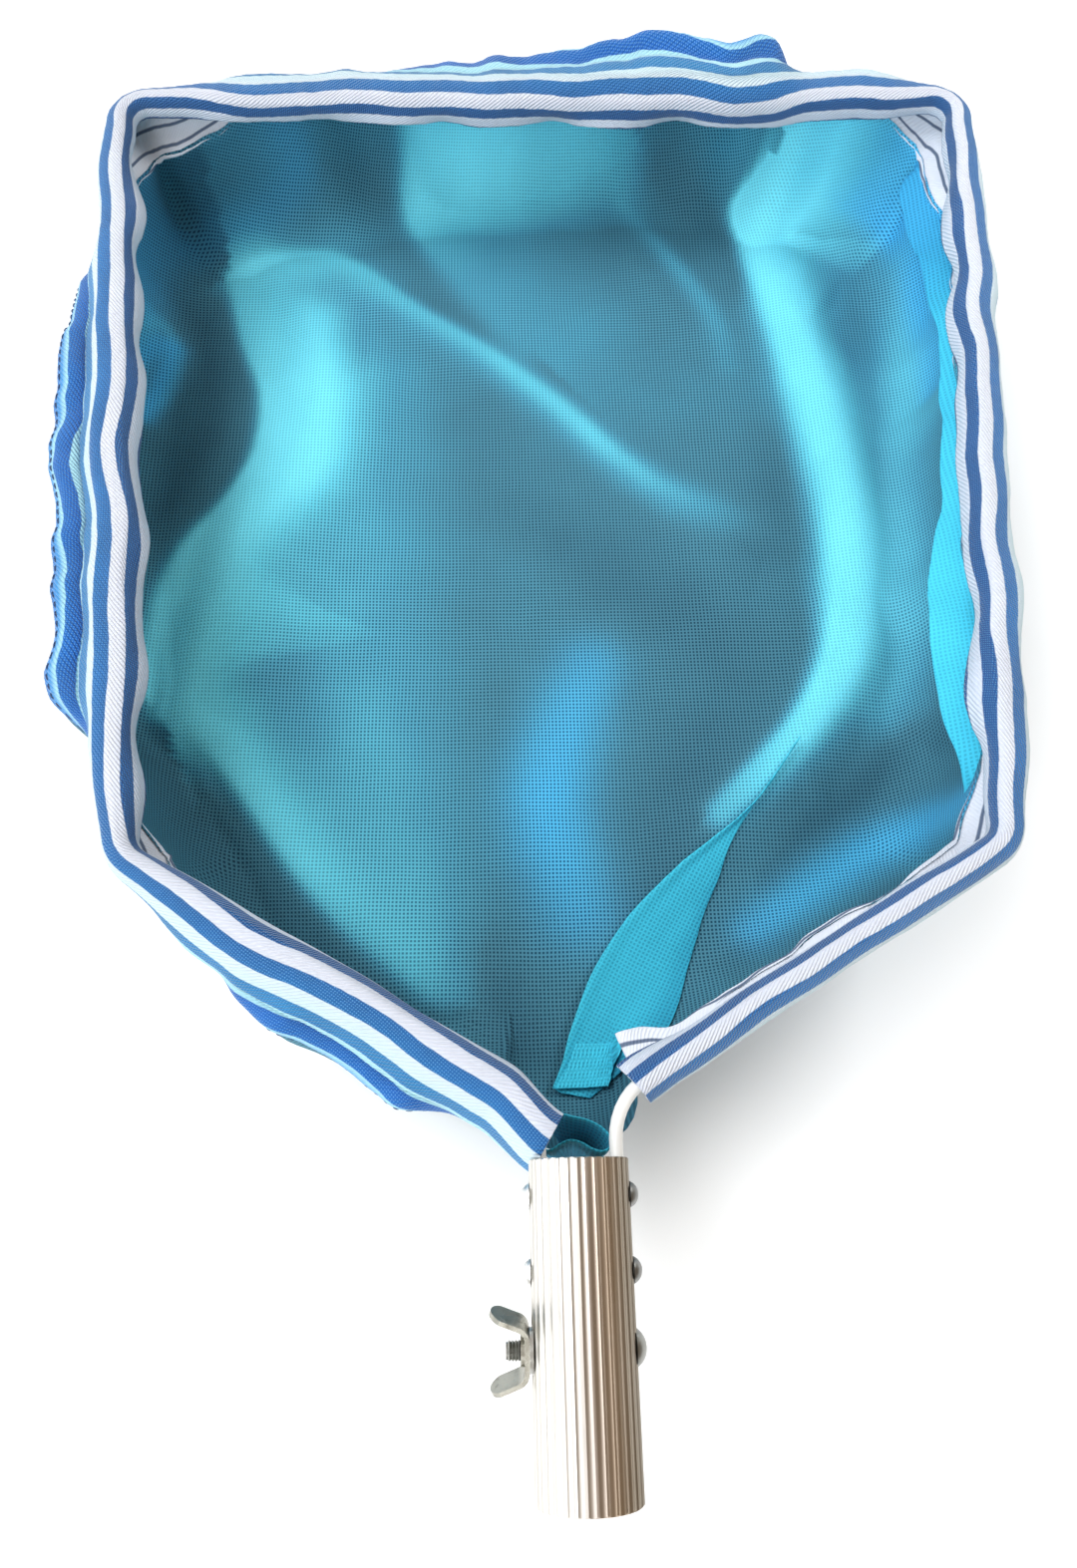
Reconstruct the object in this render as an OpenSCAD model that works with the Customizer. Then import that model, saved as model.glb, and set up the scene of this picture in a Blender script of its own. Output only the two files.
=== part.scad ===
// Leaf skimmer net: a bent wire frame riveted into a fluted socket tube, with a striped tape
// draped over the wire and a fine mesh bag sewn to the tape's outer edge.
// Origin: centre of the socket's mouth. +Y runs up the tube to the front edge of the frame,
// +Z is the open side of the bag, and the pole leaves along -Y.

/* [Socket tube] */
// Diameter over the lands between the flutes
tube_od = 32; // [31.5:0.5:36]
// Length of the tube
tube_l = 95; // [90:1:140]
// Bore that holds the pole
socket_bore = 29; // [25:0.5:29.5]
// Length of the bore that is sized to the pole, from the mouth
sized_bore_l = 36; // [15:1:36]
// Extra radius of the bore behind the sized length
bore_relief = 0.3; // [0.2:0.05:0.4]
// Number of flutes round the tube
flute_count = 34; // [20:2:40]
// Depth of each flute
flute_depth = 0.35; // [0.2:0.05:0.4]
// Width of the land between two flutes
land_w = 0.5; // [0.3:0.1:0.8]
// Bevel round both ends of the tube
tube_bevel = 0.4; // [0.2:0.1:0.6]

/* [Wire frame] */
// Diameter of the wire with its coating
wire_d = 4.4; // [3.6:0.1:4.8]
// Distance from the tube to the virtual corner where each leg turns outwards
neck_rise = 18; // [16:1:30]
// Bend radius of the wire at the neck
neck_r = 22; // [16:1:22]
// Width between the shoulders, over the wire's centres
shoulder_w = 316; // [260:2:360]
// Distance from the tube to the shoulders
shoulder_reach = 105; // [95:1:130]
// Bend radius of the wire at the shoulders
shoulder_r = 13; // [10:1:25]
// Width of the front edge, over the wire's centres
front_w = 400; // [330:2:460]
// Distance from the tube to the front edge
front_reach = 480; // [400:5:560]
// Bend radius of the wire at the front corners
front_r = 13; // [10:1:30]
// Length of the legs inside the tube
leg_in = 41; // [40:0.5:46]
// Thickness of the flattened legs
leg_flat_t = 2.2; // [1.6:0.1:2.6]
// Width of the flattened legs
leg_flat_w = 7.6; // [7:0.1:8.5]

/* [Rivets] */
// Diameter of the rivet shank
rivet_d = 4; // [3:0.1:4.4]
// Diameter of the domed head
rivet_head_d = 8; // [6.5:0.1:9]
// Height of the domed head
rivet_head_h = 2.7; // [1.5:0.1:3.5]
// Diameter of the tail set against the wire
rivet_tail_d = 6; // [5:0.1:6.8]
// Height of the tail
rivet_tail_h = 1.5; // [1:0.1:2.2]
// Distance from the end of the tube to the first rivet
rivet_edge = 11; // [10:0.5:12]
// Distance between the two rivets of a leg
rivet_pitch = 22; // [18:0.5:24]

/* [Pole bolt] */
// Diameter of the bolt
bolt_d = 6; // [5:0.5:6]
// Distance from the socket's mouth to the bolt
bolt_y = 40.5; // [40:0.5:46]
// Pitch of the thread
thread_pitch = 1; // [0.8:0.1:1.25]
// Depth of the thread
thread_depth = 0.5; // [0.3:0.05:0.6]
// Length of thread, from the tip
thread_l = 13; // [10:0.5:18]
// Length of bolt that stands out beyond the tube
bolt_end_l = 7.8; // [6.5:0.1:10]
// Diameter of the mushroom head
bolt_head_d = 11; // [9:0.5:13]
// Height of the mushroom head
bolt_head_h = 3.3; // [2.5:0.1:4]
// Width and depth of the slot in the head
slot_w = 1.4; // [1:0.1:1.8]
// Depth of the flat that the head sits on
head_seat = 0.4; // [0.2:0.1:0.5]
// Depth of the flat that the washer sits on
washer_seat = 0.5; // [0.2:0.1:0.6]
// Diameter of the washer
washer_d = 13; // [11:0.5:14]
// Thickness of the washer
washer_t = 1.2; // [0.8:0.1:1.6]

/* [Wing nut] */
// Thickness of the sheet
nut_t = 1.5; // [1.2:0.1:1.8]
// Width of the sheet
nut_w = 9.6; // [9:0.1:11]
// Length of the flat base between the bends
nut_base_l = 9.6; // [9.2:0.1:12]
// Inside radius of the bend at the foot of each wing
nut_bend_r = 3.2; // [2:0.1:4]
// Angle that each wing is bent up
nut_bend = 68; // [50:1:80]
// Straight length of each wing beyond the bend
wing_l = 9.3; // [7:0.1:11]
// Diameter of the threaded hub
hub_d = 9; // [8:0.1:9.4]
// Height of the hub above the sheet
hub_h = 1.2; // [0.8:0.1:2]
// Turn of the nut on the bolt when it is tight
nut_angle = 22; // [0:1:90]

/* [Striped tape] */
// Thickness of the tape
tape_t = 0.9; // [0.6:0.1:1]
// Drop from the wire's centre to the seam at the tape's outer edge
tape_drop = 24; // [20:1:30]
// Drop from the wire's centre to the tape's inner edge
flap_drop = 10; // [6:1:14]
// Offset of the seam outside the wire where the tape hangs straight
seam_out = 3; // [2:0.5:5]
// Width of the shelf that the tape forms outside the wire where it hangs straight
shelf_w = 9; // [7:0.5:11]
// Bare wire between the tube and the tape, right leg
tape_start_right = 24; // [20:1:40]
// Bare wire between the tube and the tape, left leg
tape_start_left = 3; // [2:1:10]
// How far the tape's seam flares out at the middle of the left side
flare_left = 27; // [0:1:30]
// How far the tape's seam flares out at the middle of the right side
flare_right = 3; // [0:1:30]
// How far the tape's seam flares out at the middle of the front edge
flare_front = 24; // [0:1:30]
// How far the tape's seam flares out at the middle of the left leg
flare_left_leg = 14; // [-6:1:18]
// How far the tape's seam flares out at the middle of the right leg
flare_right_leg = -6; // [-6:1:18]
// How far the tape stands up outside the wire at the middle of the front edge
front_crest = 13; // [0:1:16]
// How far the seam is drawn inwards at each corner of the frame
corner_pull = 14; // [0:1:15]

/* [Mesh bag] */
// Thickness of the bag's skin
bag_t = 1; // [0.8:0.1:1.4]
// Depth of the bag below the wire's centre
bag_depth = 77; // [60:1:90]
// How far the bag's wall bulges beyond its seam where the tape hangs straight
bag_bulge = 5; // [2:1:8]
// Share of the tape's flare that is added to the bulge
bag_bulge_share = 0.1; // [0:0.1:1]
// How far the floor's edge lies inside the seam, as a share of the way to the middle
floor_inset = 0.13; // [0.08:0.01:0.2]
// Height of the main folds that the floor lies in
ridge_h = 5.5; // [0:0.5:6]
// Half width of the main folds, as a share of the way to the middle
ridge_w = 0.15; // [0.1:0.01:0.2]
// Distance from the tube to the bag's edge in the middle of the neck
neck_gap = 7; // [5:1:12]
// Width of the doubled hem at the neck
hem_w = 15; // [12:0.5:16]
// Height of the doubled hem
hem_h = 15; // [10:1:18]
// Thickness of the doubled hem
hem_t = 2; // [1.6:0.1:2.4]
// Diameter of the sewing thread in the seam
thread_d = 0.9; // [0.6:0.1:1.2]

/* [Hidden] */
$fn = 64;

// Clearances
leg_gap = 0.1;          // flattened leg to the relieved bore
leg_inset = 0.1;        // round wire inside the flattened leg's outer face
rivet_gap = 0.05;       // rivet shank in its holes
bolt_gap = 0.06;        // bolt in the tube's cross holes
nut_gap = 0.05;         // bolt in the wing nut
washer_gap = 0.2;       // bolt in the washer
seat_gap = 0.3;         // washer's and head's edge to the wall of its seat
soft_gap = 0.15;        // between tape, thread, bag and hem
cut = 1;                // how far a cutting body runs past what it cuts
lap = 0.3;              // how far a straight stretch reaches into a bend
bend_swell = 0.03;      // how far a bend's surface stands above the straight stretch beside it

// Socket tube
tube_r = tube_od / 2;
bore_r = socket_bore / 2;
relief_r = bore_r + bore_relief;
flute_w = 2 * PI * tube_r / flute_count - land_w;
flute_r = (pow(flute_w / 2, 2) + pow(flute_depth, 2)) / (2 * flute_depth);

// Legs and rivets
wire_r = wire_d / 2;
wire_fn = 28;
leg_out_r = relief_r - leg_gap;
leg_x = leg_out_r - wire_r - leg_inset;
leg_flat_x = leg_out_r - leg_flat_t;
leg_end_y = tube_l - leg_in;
flat_margin = 1.5;      // flattened length beyond the rivet's head
leg_overlap = 1.5;      // how far the round wire reaches into the flattened length
flat_end = rivet_edge - rivet_head_d / 2 - flat_margin;
root_y = tube_l - flat_end - leg_overlap;
RIVET_Y = [tube_l - rivet_edge, tube_l - rivet_edge - rivet_pitch];

// Bolt line
bolt_r = bolt_d / 2;
head_seat_x = tube_r - head_seat;
washer_x = tube_r - washer_seat;
nut_x = washer_x + washer_t;
tip_ease = 0.5;         // radius of a wing's rounded tip beyond half its width

// Route of the wire's centre, right half: corners and the bend radius at each
CORNERS = [
  [leg_x, root_y],
  [leg_x, tube_l + neck_rise],
  [shoulder_w / 2, tube_l + shoulder_reach],
  [front_w / 2, tube_l + front_reach],
  [0, tube_l + front_reach]
];
BENDS = [0, neck_r, shoulder_r, front_r, 0];

// Runs of the route, and the bend at the neck, by their place in CORNERS
FRONT = len(CORNERS) - 2;
SIDE = FRONT - 1;
LEG = SIDE - 1;
NECK = LEG;

function unit(a) = [cos(a), sin(a)];
function heading(i) = let (d = CORNERS[i + 1] - CORNERS[i]) atan2(d.y, d.x);
function turn(i) = heading(i) - heading(i - 1);
function trim(i) = BENDS[i] == 0 ? 0 : BENDS[i] * tan(abs(turn(i)) / 2);
function arc_l(i) = BENDS[i] * abs(turn(i)) * PI / 180;
function run_l(i) = norm(CORNERS[i + 1] - CORNERS[i]) - trim(i) - trim(i + 1);
function run_start(i) = CORNERS[i] + trim(i) * unit(heading(i));
function run_s(i) = i == 0 ? 0 : run_s(i - 1) + run_l(i - 1) + arc_l(i);
half_l = run_s(FRONT) + run_l(FRONT);

// Point and heading at distance s along the right half
function on_bend(s, i) =
  let (side = sign(turn(i)), a = heading(i - 1) + side * s / BENDS[i] * 180 / PI,
       start = run_start(i - 1) + run_l(i - 1) * unit(heading(i - 1)),
       centre = start + side * BENDS[i] * unit(heading(i - 1) + 90))
  [centre - side * BENDS[i] * unit(a + 90), a];
function along(s, i = 0) =
  i == FRONT || s <= run_s(i) + run_l(i)
    ? [run_start(i) + (s - run_s(i)) * unit(heading(i)), heading(i)]
    : s < run_s(i + 1) ? on_bend(s - run_s(i) - run_l(i), i + 1) : along(s, i + 1);

// Point and outward direction at distance s along the whole route, right leg to left leg
function route(s) =
  s <= half_l
    ? let (p = along(s)) [p[0], unit(p[1] - 90)]
    : let (p = along(2 * half_l - s), out = unit(p[1] - 90)) [[-p[0].x, p[0].y], [-out.x, out.y]];

// Stations along the right half, closer at the bends, then the whole route
RUN_STEPS = [1, 7, 15, 8];
BEND_STEPS = 3;
HALF_STATIONS = [
  for (i = [LEG:FRONT])
    each concat(
      [for (k = [0:RUN_STEPS[i] - 1]) run_s(i) + run_l(i) * k / RUN_STEPS[i]],
      i == FRONT ? [] : [for (k = [0:BEND_STEPS - 1]) run_s(i) + run_l(i) + arc_l(i + 1) * k / BEND_STEPS]
    )
];
STATIONS = concat(HALF_STATIONS, [half_l], [for (k = [len(HALF_STATIONS) - 1:-1:0]) 2 * half_l - HALF_STATIONS[k]]);

// Flare of the tape: nothing at the corners, all of it along the middle of each edge
function hump(x) = min(1, 1.4 * pow(sin(x), 2));
function run_share(s, i) = min(1, max(0, (s - run_s(i)) / run_l(i)));
function front_swell(s) = hump(90 * run_share(s, FRONT));
function flare_half(s, leg, side) =
  s < run_s(LEG) ? 0
    : s < run_s(SIDE) ? leg * hump(180 * run_share(s, LEG))
    : s < run_s(FRONT) ? side * hump(180 * run_share(s, SIDE))
    : flare_front * front_swell(s);
function flare(s) =
  s <= half_l ? flare_half(s, flare_right_leg, flare_right)
    : flare_half(2 * half_l - s, flare_left_leg, flare_left);
function crest(s) = front_crest * front_swell(min(s, 2 * half_l - s));

// Share of the corner pull: all of it in the middle of a corner, none beyond pull_w from there
pull_w = 48;
function corner_share(s, i) = pow(sin(90 * max(0, 1 - abs(s - run_s(i) + arc_l(i) / 2) / pull_w)), 2);
function pull(s) = let (h = min(s, 2 * half_l - s)) corner_pull * max(corner_share(h, SIDE), corner_share(h, FRONT));

// Point of the space round the wire: out is outwards from the wire, z is up
function place(s, out, z) = let (r = route(s), p = r[0] + out * r[1]) [p.x, p.y, z];
function seam_at(s) = seam_out + flare(s) - pull(s);

// Faces between rings of n points, numbered ring by ring
function wall_faces(rings, n, first = 0, flip = false) = [
  for (r = [0:rings - 2], i = [0:n - 1])
    let (a = first + r * n + i, b = first + r * n + (i + 1) % n, c = a + n, d = b + n)
    each flip ? [[a, b, d], [a, d, c]] : [[a, d, b], [a, c, d]]
];

module along_x() {
  rotate([0, 90, 0]) children();
}

// A dome of diameter d and height h standing on the XY plane
module dome(d, h) {
  ball_r = (pow(d / 2, 2) + pow(h, 2)) / (2 * h);
  intersection() {
    translate([0, 0, h - ball_r]) sphere(r = ball_r);
    cylinder(d = 2 * d, h = 2 * h);
  }
}

module flutes() {
  for (i = [0:flute_count - 1])
    rotate((i + 0.5) * 360 / flute_count)
      translate([tube_r - flute_depth + flute_r, 0]) circle(flute_r);
}

module tube_blank() {
  intersection() {
    linear_extrude(tube_l) difference() {
      circle(tube_r, $fn = 128);
      flutes();
    }
    union() {
      cylinder(r1 = tube_r - tube_bevel, r2 = tube_r, h = tube_bevel);
      translate([0, 0, tube_bevel]) cylinder(r = tube_r, h = tube_l - 2 * tube_bevel);
      translate([0, 0, tube_l - tube_bevel]) cylinder(r1 = tube_r, r2 = tube_r - tube_bevel, h = tube_bevel);
    }
  }
}

module handle_tube() {
  color("silver") difference() {
    rotate([-90, 0, 0]) tube_blank();
    rotate([-90, 0, 0]) translate([0, 0, -cut]) cylinder(r = bore_r, h = sized_bore_l + 2 * cut);
    translate([0, sized_bore_l, 0]) rotate([-90, 0, 0]) cylinder(r = relief_r, h = tube_l);
    for (y = RIVET_Y)
      translate([-tube_r - cut, y, 0]) along_x() cylinder(d = rivet_d + 2 * rivet_gap, h = tube_od + 2 * cut);
    translate([-tube_r - cut, bolt_y, 0]) along_x() cylinder(r = bolt_r + bolt_gap, h = tube_od + 2 * cut);
    translate([head_seat_x, bolt_y, 0]) along_x() cylinder(d = bolt_head_d + 2 * seat_gap, h = tube_r);
    translate([-washer_x - tube_r, bolt_y, 0]) along_x() cylinder(d = washer_d + 2 * seat_gap, h = tube_r);
  }
}

// Straight run of the wire from a start point, with both ends let into the bends
module wire_run(start, a, l) {
  translate([start.x, start.y, 0]) rotate([0, 0, a]) along_x() translate([0, 0, -lap])
    cylinder(r = wire_r, h = l + 2 * lap, $fn = wire_fn);
}

// Bend of the wire to the left, from the origin along +X
module bend(by, r) {
  translate([0, r, 0]) rotate([0, 0, -90]) rotate_extrude(angle = by)
    translate([r, 0]) circle(wire_r + bend_swell, $fn = wire_fn);
}

// Bend of the wire that starts where a run ends
module wire_bend(start, a, by, r) {
  translate([start.x, start.y, 0]) rotate([0, 0, a])
    if (by < 0) mirror([0, 1, 0]) bend(-by, r);
    else bend(by, r);
}

module flat_leg() {
  difference() {
    intersection() {
      rotate([-90, 0, 0]) cylinder(r = leg_out_r, h = tube_l);
      translate([leg_flat_x, leg_end_y, -leg_flat_w / 2])
        cube([leg_flat_t + cut, leg_in - flat_end, leg_flat_w]);
    }
    for (y = RIVET_Y)
      translate([leg_flat_x - cut, y, 0]) along_x() cylinder(d = rivet_d + 2 * rivet_gap, h = leg_flat_t + 3 * cut);
  }
}

module half_frame() {
  flat_leg();
  for (i = [0:FRONT]) {
    wire_run(run_start(i), heading(i), run_l(i));
    if (i < FRONT)
      wire_bend(run_start(i) + run_l(i) * unit(heading(i)), heading(i), turn(i + 1), BENDS[i + 1]);
  }
}

module frame_wire() {
  color("ghostwhite") union() {
    half_frame();
    mirror([1, 0, 0]) half_frame();
  }
}

module frame_rivet() {
  grip = tube_r - leg_flat_x;
  dome(rivet_head_d, rivet_head_h);
  translate([0, 0, -grip]) cylinder(d = rivet_d, h = grip + rivet_head_h / 2);
  translate([0, 0, -grip - rivet_tail_h]) cylinder(d = rivet_tail_d, h = rivet_tail_h);
}

module frame_rivets() {
  color("gainsboro")
    for (side = [0, 1], y = RIVET_Y)
      mirror([side, 0, 0]) translate([tube_r, y, 0]) along_x() frame_rivet();
}

// Half outline of the bolt, from the head's seat to the tip, with rings for the thread
module bolt_shank() {
  tip = head_seat_x + tube_r + bolt_end_l;
  rings = floor(thread_l / thread_pitch);
  teeth = [
    for (k = [rings:-1:1])
      let (y = tip - k * thread_pitch)
      each [[bolt_r, y], [bolt_r - thread_depth, y + thread_pitch / 2]]
  ];
  rotate_extrude() polygon(concat(
    [[0, -bolt_head_h / 2], [bolt_r, -bolt_head_h / 2]],
    teeth,
    [[bolt_r - thread_depth, tip], [0, tip]]
  ));
}

module clamp_bolt() {
  color("lightgray")
    translate([head_seat_x, bolt_y, 0]) difference() {
      union() {
        along_x() dome(bolt_head_d, bolt_head_h);
        rotate([0, -90, 0]) bolt_shank();
      }
      translate([bolt_head_h - slot_w, -bolt_head_d, -slot_w / 2]) cube([2 * slot_w, 2 * bolt_head_d, slot_w]);
    }
}

module bolt_washer() {
  color("darkgray")
    translate([-nut_x, bolt_y, 0]) along_x() difference() {
      cylinder(d = washer_d, h = washer_t);
      translate([0, 0, -cut]) cylinder(r = bolt_r + washer_gap, h = washer_t + 2 * cut);
    }
}

// Half of the bent sheet seen from the side: it runs outwards along the base, then up the wing
module half_sheet() {
  half_base = nut_base_l / 2;
  outer_r = nut_bend_r + nut_t;
  square([half_base, nut_t]);
  translate([half_base, outer_r]) {
    intersection() {
      difference() {
        circle(outer_r);
        circle(nut_bend_r);
      }
      polygon(2 * outer_r * [[0, 0], [0, -1], [1, -1], [sin(nut_bend), -cos(nut_bend)]]);
    }
    rotate(nut_bend) translate([-lap, bend_swell - outer_r]) square([wing_l + lap, nut_t - 2 * bend_swell]);
  }
}

// What is cut off a wing to round its tip, in the plane of the wing
module tip_corners() {
  tip_r = nut_w / 2 + tip_ease;
  translate([0, wing_l - tip_r]) difference() {
    translate([-nut_w, 0]) square([2 * nut_w, tip_r + cut]);
    circle(tip_r);
  }
}

module wing_nut() {
  color("whitesmoke")
    translate([-nut_x, bolt_y, 0]) rotate([nut_angle, 0, 0]) rotate([0, -90, 0]) difference() {
      union() {
        rotate([90, 0, 90]) translate([0, 0, -nut_w / 2]) linear_extrude(nut_w) {
          half_sheet();
          mirror([1, 0]) half_sheet();
        }
        cylinder(d = hub_d, h = nut_t + hub_h);
      }
      translate([0, 0, -cut]) cylinder(r = bolt_r + nut_gap, h = nut_t + hub_h + 2 * cut);
      for (side = [0, 1])
        mirror([0, side, 0]) translate([0, nut_base_l / 2, nut_bend_r + nut_t]) rotate([nut_bend, 0, 0])
          translate([0, 0, -nut_bend_r - nut_t - cut]) linear_extrude(nut_t + 2 * cut) tip_corners();
    }
}

// Middle of the tape's thickness, from its inner edge over the wire and down to the seam: distance
// outwards from the wire's centre, height, and the shares of flare, crest and corner pull
fold_w = 3.3;           // from the wire's side to the tape on its inner side
fold_h = 1.4;           // from the wire's top to the tape above it
flap_lean = 2.5;        // how far the inner edge lies further in than the fold above it
crown_w = 2.8;          // from the wire's side to the outer end of the crown
shelf_fall = 2;         // from the wire's centre down to the shelf's outer edge
flank_bend = 0.54;      // depth of the bend in the flank, as a share of the drop
TAPE_PROFILE = [
  [-wire_r - fold_w - flap_lean, -flap_drop, 0, 0, 0],
  [-wire_r - fold_w, 0, 0, 0, 0],
  [0, wire_r + fold_h, 0, 0, 0],
  [wire_r + crown_w, wire_r, 0.35, 0.6, 0],
  [shelf_w, -shelf_fall, 0.7, 1, 0.1],
  [shelf_w, -flank_bend * tape_drop, 0.78, 0.5, 0.5],
  [seam_out, -tape_drop, 1, 0, 1]
];
function tape_line(s) =
  let (f = flare(s), c = crest(s), g = pull(s))
  [for (p = TAPE_PROFILE) [p[0] + f * p[2] - g * p[4], p[1] + c * p[3]]];

// Point k of a line moved by d to the line's left
function unit_of(v) = v / norm(v);
function side_step(line, k, d) =
  let (a = line[max(0, k - 1)], b = line[min(len(line) - 1, k + 1)], p = line[k],
       u = p == a ? unit_of(b - p) : unit_of(p - a), v = p == b ? u : unit_of(b - p))
  p + d / (1 + u * v) * [-u.y - v.y, u.x + v.x];

// Both faces of the tape as one ring: out along the upper face and back along the lower one
function tape_ring(line) = let (n = len(line)) concat(
  [for (k = [0:n - 1]) side_step(line, k, tape_t / 2)],
  [for (k = [n - 1:-1:0]) side_step(line, k, -tape_t / 2)]
);

// Distances along the tape, with the bend at the neck split as finely as the others
station_gap = 2;        // nearest that two stations come to each other at the tape's ends
function clip(list, low, high) =
  concat([low], [for (s = list) if (s > low + station_gap && s < high - station_gap) s], [high]);
mouth_s = tube_l - root_y;
NECK_STATIONS = [for (k = [0:BEND_STEPS - 1]) run_s(LEG) - arc_l(NECK) * (1 - k / BEND_STEPS)];
TAPE_STATIONS = clip(
  concat(NECK_STATIONS, STATIONS, [for (k = [BEND_STEPS - 1:-1:0]) 2 * half_l - NECK_STATIONS[k]]),
  mouth_s + tape_start_right, 2 * half_l - mouth_s - tape_start_left
);

module striped_tape() {
  n = 2 * len(TAPE_PROFILE);
  rings = len(TAPE_STATIONS);
  points = [for (s = TAPE_STATIONS, p = tape_ring(tape_line(s))) place(s, p.x, p.y)];
  last = n * (rings - 1);
  caps = [
    for (k = [0:n / 2 - 2])
      let (back = n - 1 - k)
      each [[k, k + 1, back - 1], [k, back - 1, back],
            [last + k, last + back - 1, last + k + 1], [last + k, last + back, last + back - 1]]
  ];
  color("royalblue") polyhedron(points, concat(wall_faces(rings, n), caps));
}

// Thread that joins the tape's edge to the bag's rim
thread_z = -tape_drop - soft_gap - thread_d / 2;
rim_z = thread_z - thread_d / 2 - soft_gap;
thread_end = 3;         // the thread stops short of the seam's ends by this much
THREAD_STATIONS = clip(STATIONS, STATIONS[0] + thread_end, 2 * half_l - STATIONS[0] - thread_end);
thread_sides = 6;

module seam_thread() {
  rings = len(THREAD_STATIONS);
  points = [
    for (s = THREAD_STATIONS, k = [0:thread_sides - 1])
      let (a = -360 * k / thread_sides)
      place(s, seam_at(s) + thread_d / 2 * cos(a), thread_z + thread_d / 2 * sin(a))
  ];
  last = thread_sides * (rings - 1);
  ends = [[for (k = [0:thread_sides - 1]) k], [for (k = [thread_sides - 1:-1:0]) last + k]];
  color("navy") polyhedron(points, concat(wall_faces(rings, thread_sides), ends));
}

// Plan of the bag: the seam all the way round, closed by a curve across the neck
neck_y = tube_l + neck_gap;
NECK_STEPS = 6;
seam_first = place(STATIONS[0], seam_at(STATIONS[0]), 0);
NECK_ANGLES = [for (k = [1:NECK_STEPS - 1]) 180 + 180 * k / NECK_STEPS];
function neck_point(a, out) = [
  (seam_first.x + out) * cos(a), seam_first.y + (seam_first.y + out - neck_y) * sin(a)
];
function bag_plan(out) = concat(
  [for (s = STATIONS) let (p = place(s, seam_at(s) + out * (bag_bulge + bag_bulge_share * flare(s)), 0)) [p.x, p.y]],
  [for (a = NECK_ANGLES) neck_point(a, out * bag_bulge)]
);
middle_back = 20;       // the floor's middle lies this far behind the middle of the sides
bag_middle = [0, tube_l + (shoulder_reach + front_reach) / 2 - middle_back];
WALL_STEPS = 5;
FLOOR_STEPS = 4;

// Main folds of the floor, against the share of the way round from the right leg: where the crest
// lies on the way from the middle to the floor's edge, and its height as a share of ridge_h
CREST_AT = [
  [0, 0.9], [0.03, 0.87], [0.06, 0.81], [0.12, 0.78], [0.17, 0.85], [0.22, 0.92], [0.3, 0.86], [0.36, 0.81],
  [0.4, 0.9], [0.6, 0.75], [0.65, 0.65], [0.7, 0.68], [0.76, 0.79], [0.81, 0.93], [0.88, 0.95], [0.92, 0.93],
  [0.97, 0.9], [1, 0.9]
];
CREST_H = [
  [0, 0], [0.03, 0], [0.07, 0.8], [0.12, 0.9], [0.17, 1], [0.25, 1], [0.33, 0.9], [0.39, 0.8], [0.43, 0],
  [0.6, 0], [0.63, 0.6], [0.68, 0.8], [0.76, 1], [0.82, 0.9], [0.9, 0.8], [0.95, 0.4], [0.97, 0], [1, 0]
];
WAY_ROUND = concat([for (s = STATIONS) s / (2 * half_l)], [for (a = NECK_ANGLES) 1]);
function crest_at(i) = lookup(WAY_ROUND[i], CREST_AT);
function ridge(i, share) =
  ridge_h * lookup(WAY_ROUND[i], CREST_H) * pow(max(0, 1 - pow((share - crest_at(i)) / ridge_w, 2)), 2);

// Ring of the bag's outer skin at angle a, from 0 at the rim to 90 at the floor's edge, moved in by t
function wall_ring(a, t) = let (plan = bag_plan(sin(2 * a))) [
  for (i = [0:len(plan) - 1])
    let (q = bag_middle + (plan[i] - bag_middle) * (1 - floor_inset * (1 - cos(a))),
         in = (bag_middle - q) / norm(bag_middle - q),
         z = rim_z - (bag_depth + rim_z) * sin(a) + t * sin(a) + (a == 90 ? ridge(i, 1) : 0))
    [q.x + t * cos(a) * in.x, q.y + t * cos(a) * in.y, z]
];

// Ring of the floor's skin moved up by t, from row 1 beside the floor's edge to the inner foot of the folds
function floor_ring(row, t) = let (edge = wall_ring(90, 0)) [
  for (i = [0:len(edge) - 1])
    let (c = crest_at(i), share = [1, (1 + c) / 2, c, c - ridge_w / 2, c - ridge_w][row],
         q = bag_middle + share * ([edge[i].x, edge[i].y] - bag_middle))
    [q.x, q.y, t - bag_depth + ridge(i, share)]
];

module mesh_bag() {
  n = len(STATIONS) + len(NECK_ANGLES);
  angles = [for (k = [0:WALL_STEPS]) 90 * k / WALL_STEPS];
  skin = concat(
    [for (row = [FLOOR_STEPS:-1:1]) floor_ring(row, bag_t)],
    [for (k = [WALL_STEPS:-1:0]) wall_ring(angles[k], bag_t)],
    [for (a = angles) wall_ring(a, 0)],
    [for (row = [1:FLOOR_STEPS]) floor_ring(row, 0)]
  );
  points = [for (ring = skin, p = ring) p];
  rings = len(skin);
  top = n * rings;
  fans = [for (i = [0:n - 1]) let (j = (i + 1) % n) each [[j, i, top], [top - n + i, top - n + j, top + 1]]];
  color("darkturquoise")
    polyhedron(
      concat(points, [[bag_middle.x, bag_middle.y, bag_t - bag_depth], [bag_middle.x, bag_middle.y, -bag_depth]]),
      concat(wall_faces(rings, n, 0, true), fans)
    );
}

// Doubled edge of the mesh that closes the neck between the two ends of the tape
module neck_hem() {
  steps = 6;
  base_z = rim_z + soft_gap;
  reach = acos(hem_w / 2 / seam_first.x);
  arc = [for (k = [0:steps]) 180 + reach + (180 - 2 * reach) * k / steps];
  edge = [for (a = arc) neck_point(a, 0)];
  back = [for (k = [steps:-1:0]) edge[k] + [0, hem_t]];
  color("mediumturquoise") translate([0, 0, base_z]) linear_extrude(hem_h) polygon(concat(edge, back));
}

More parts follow.
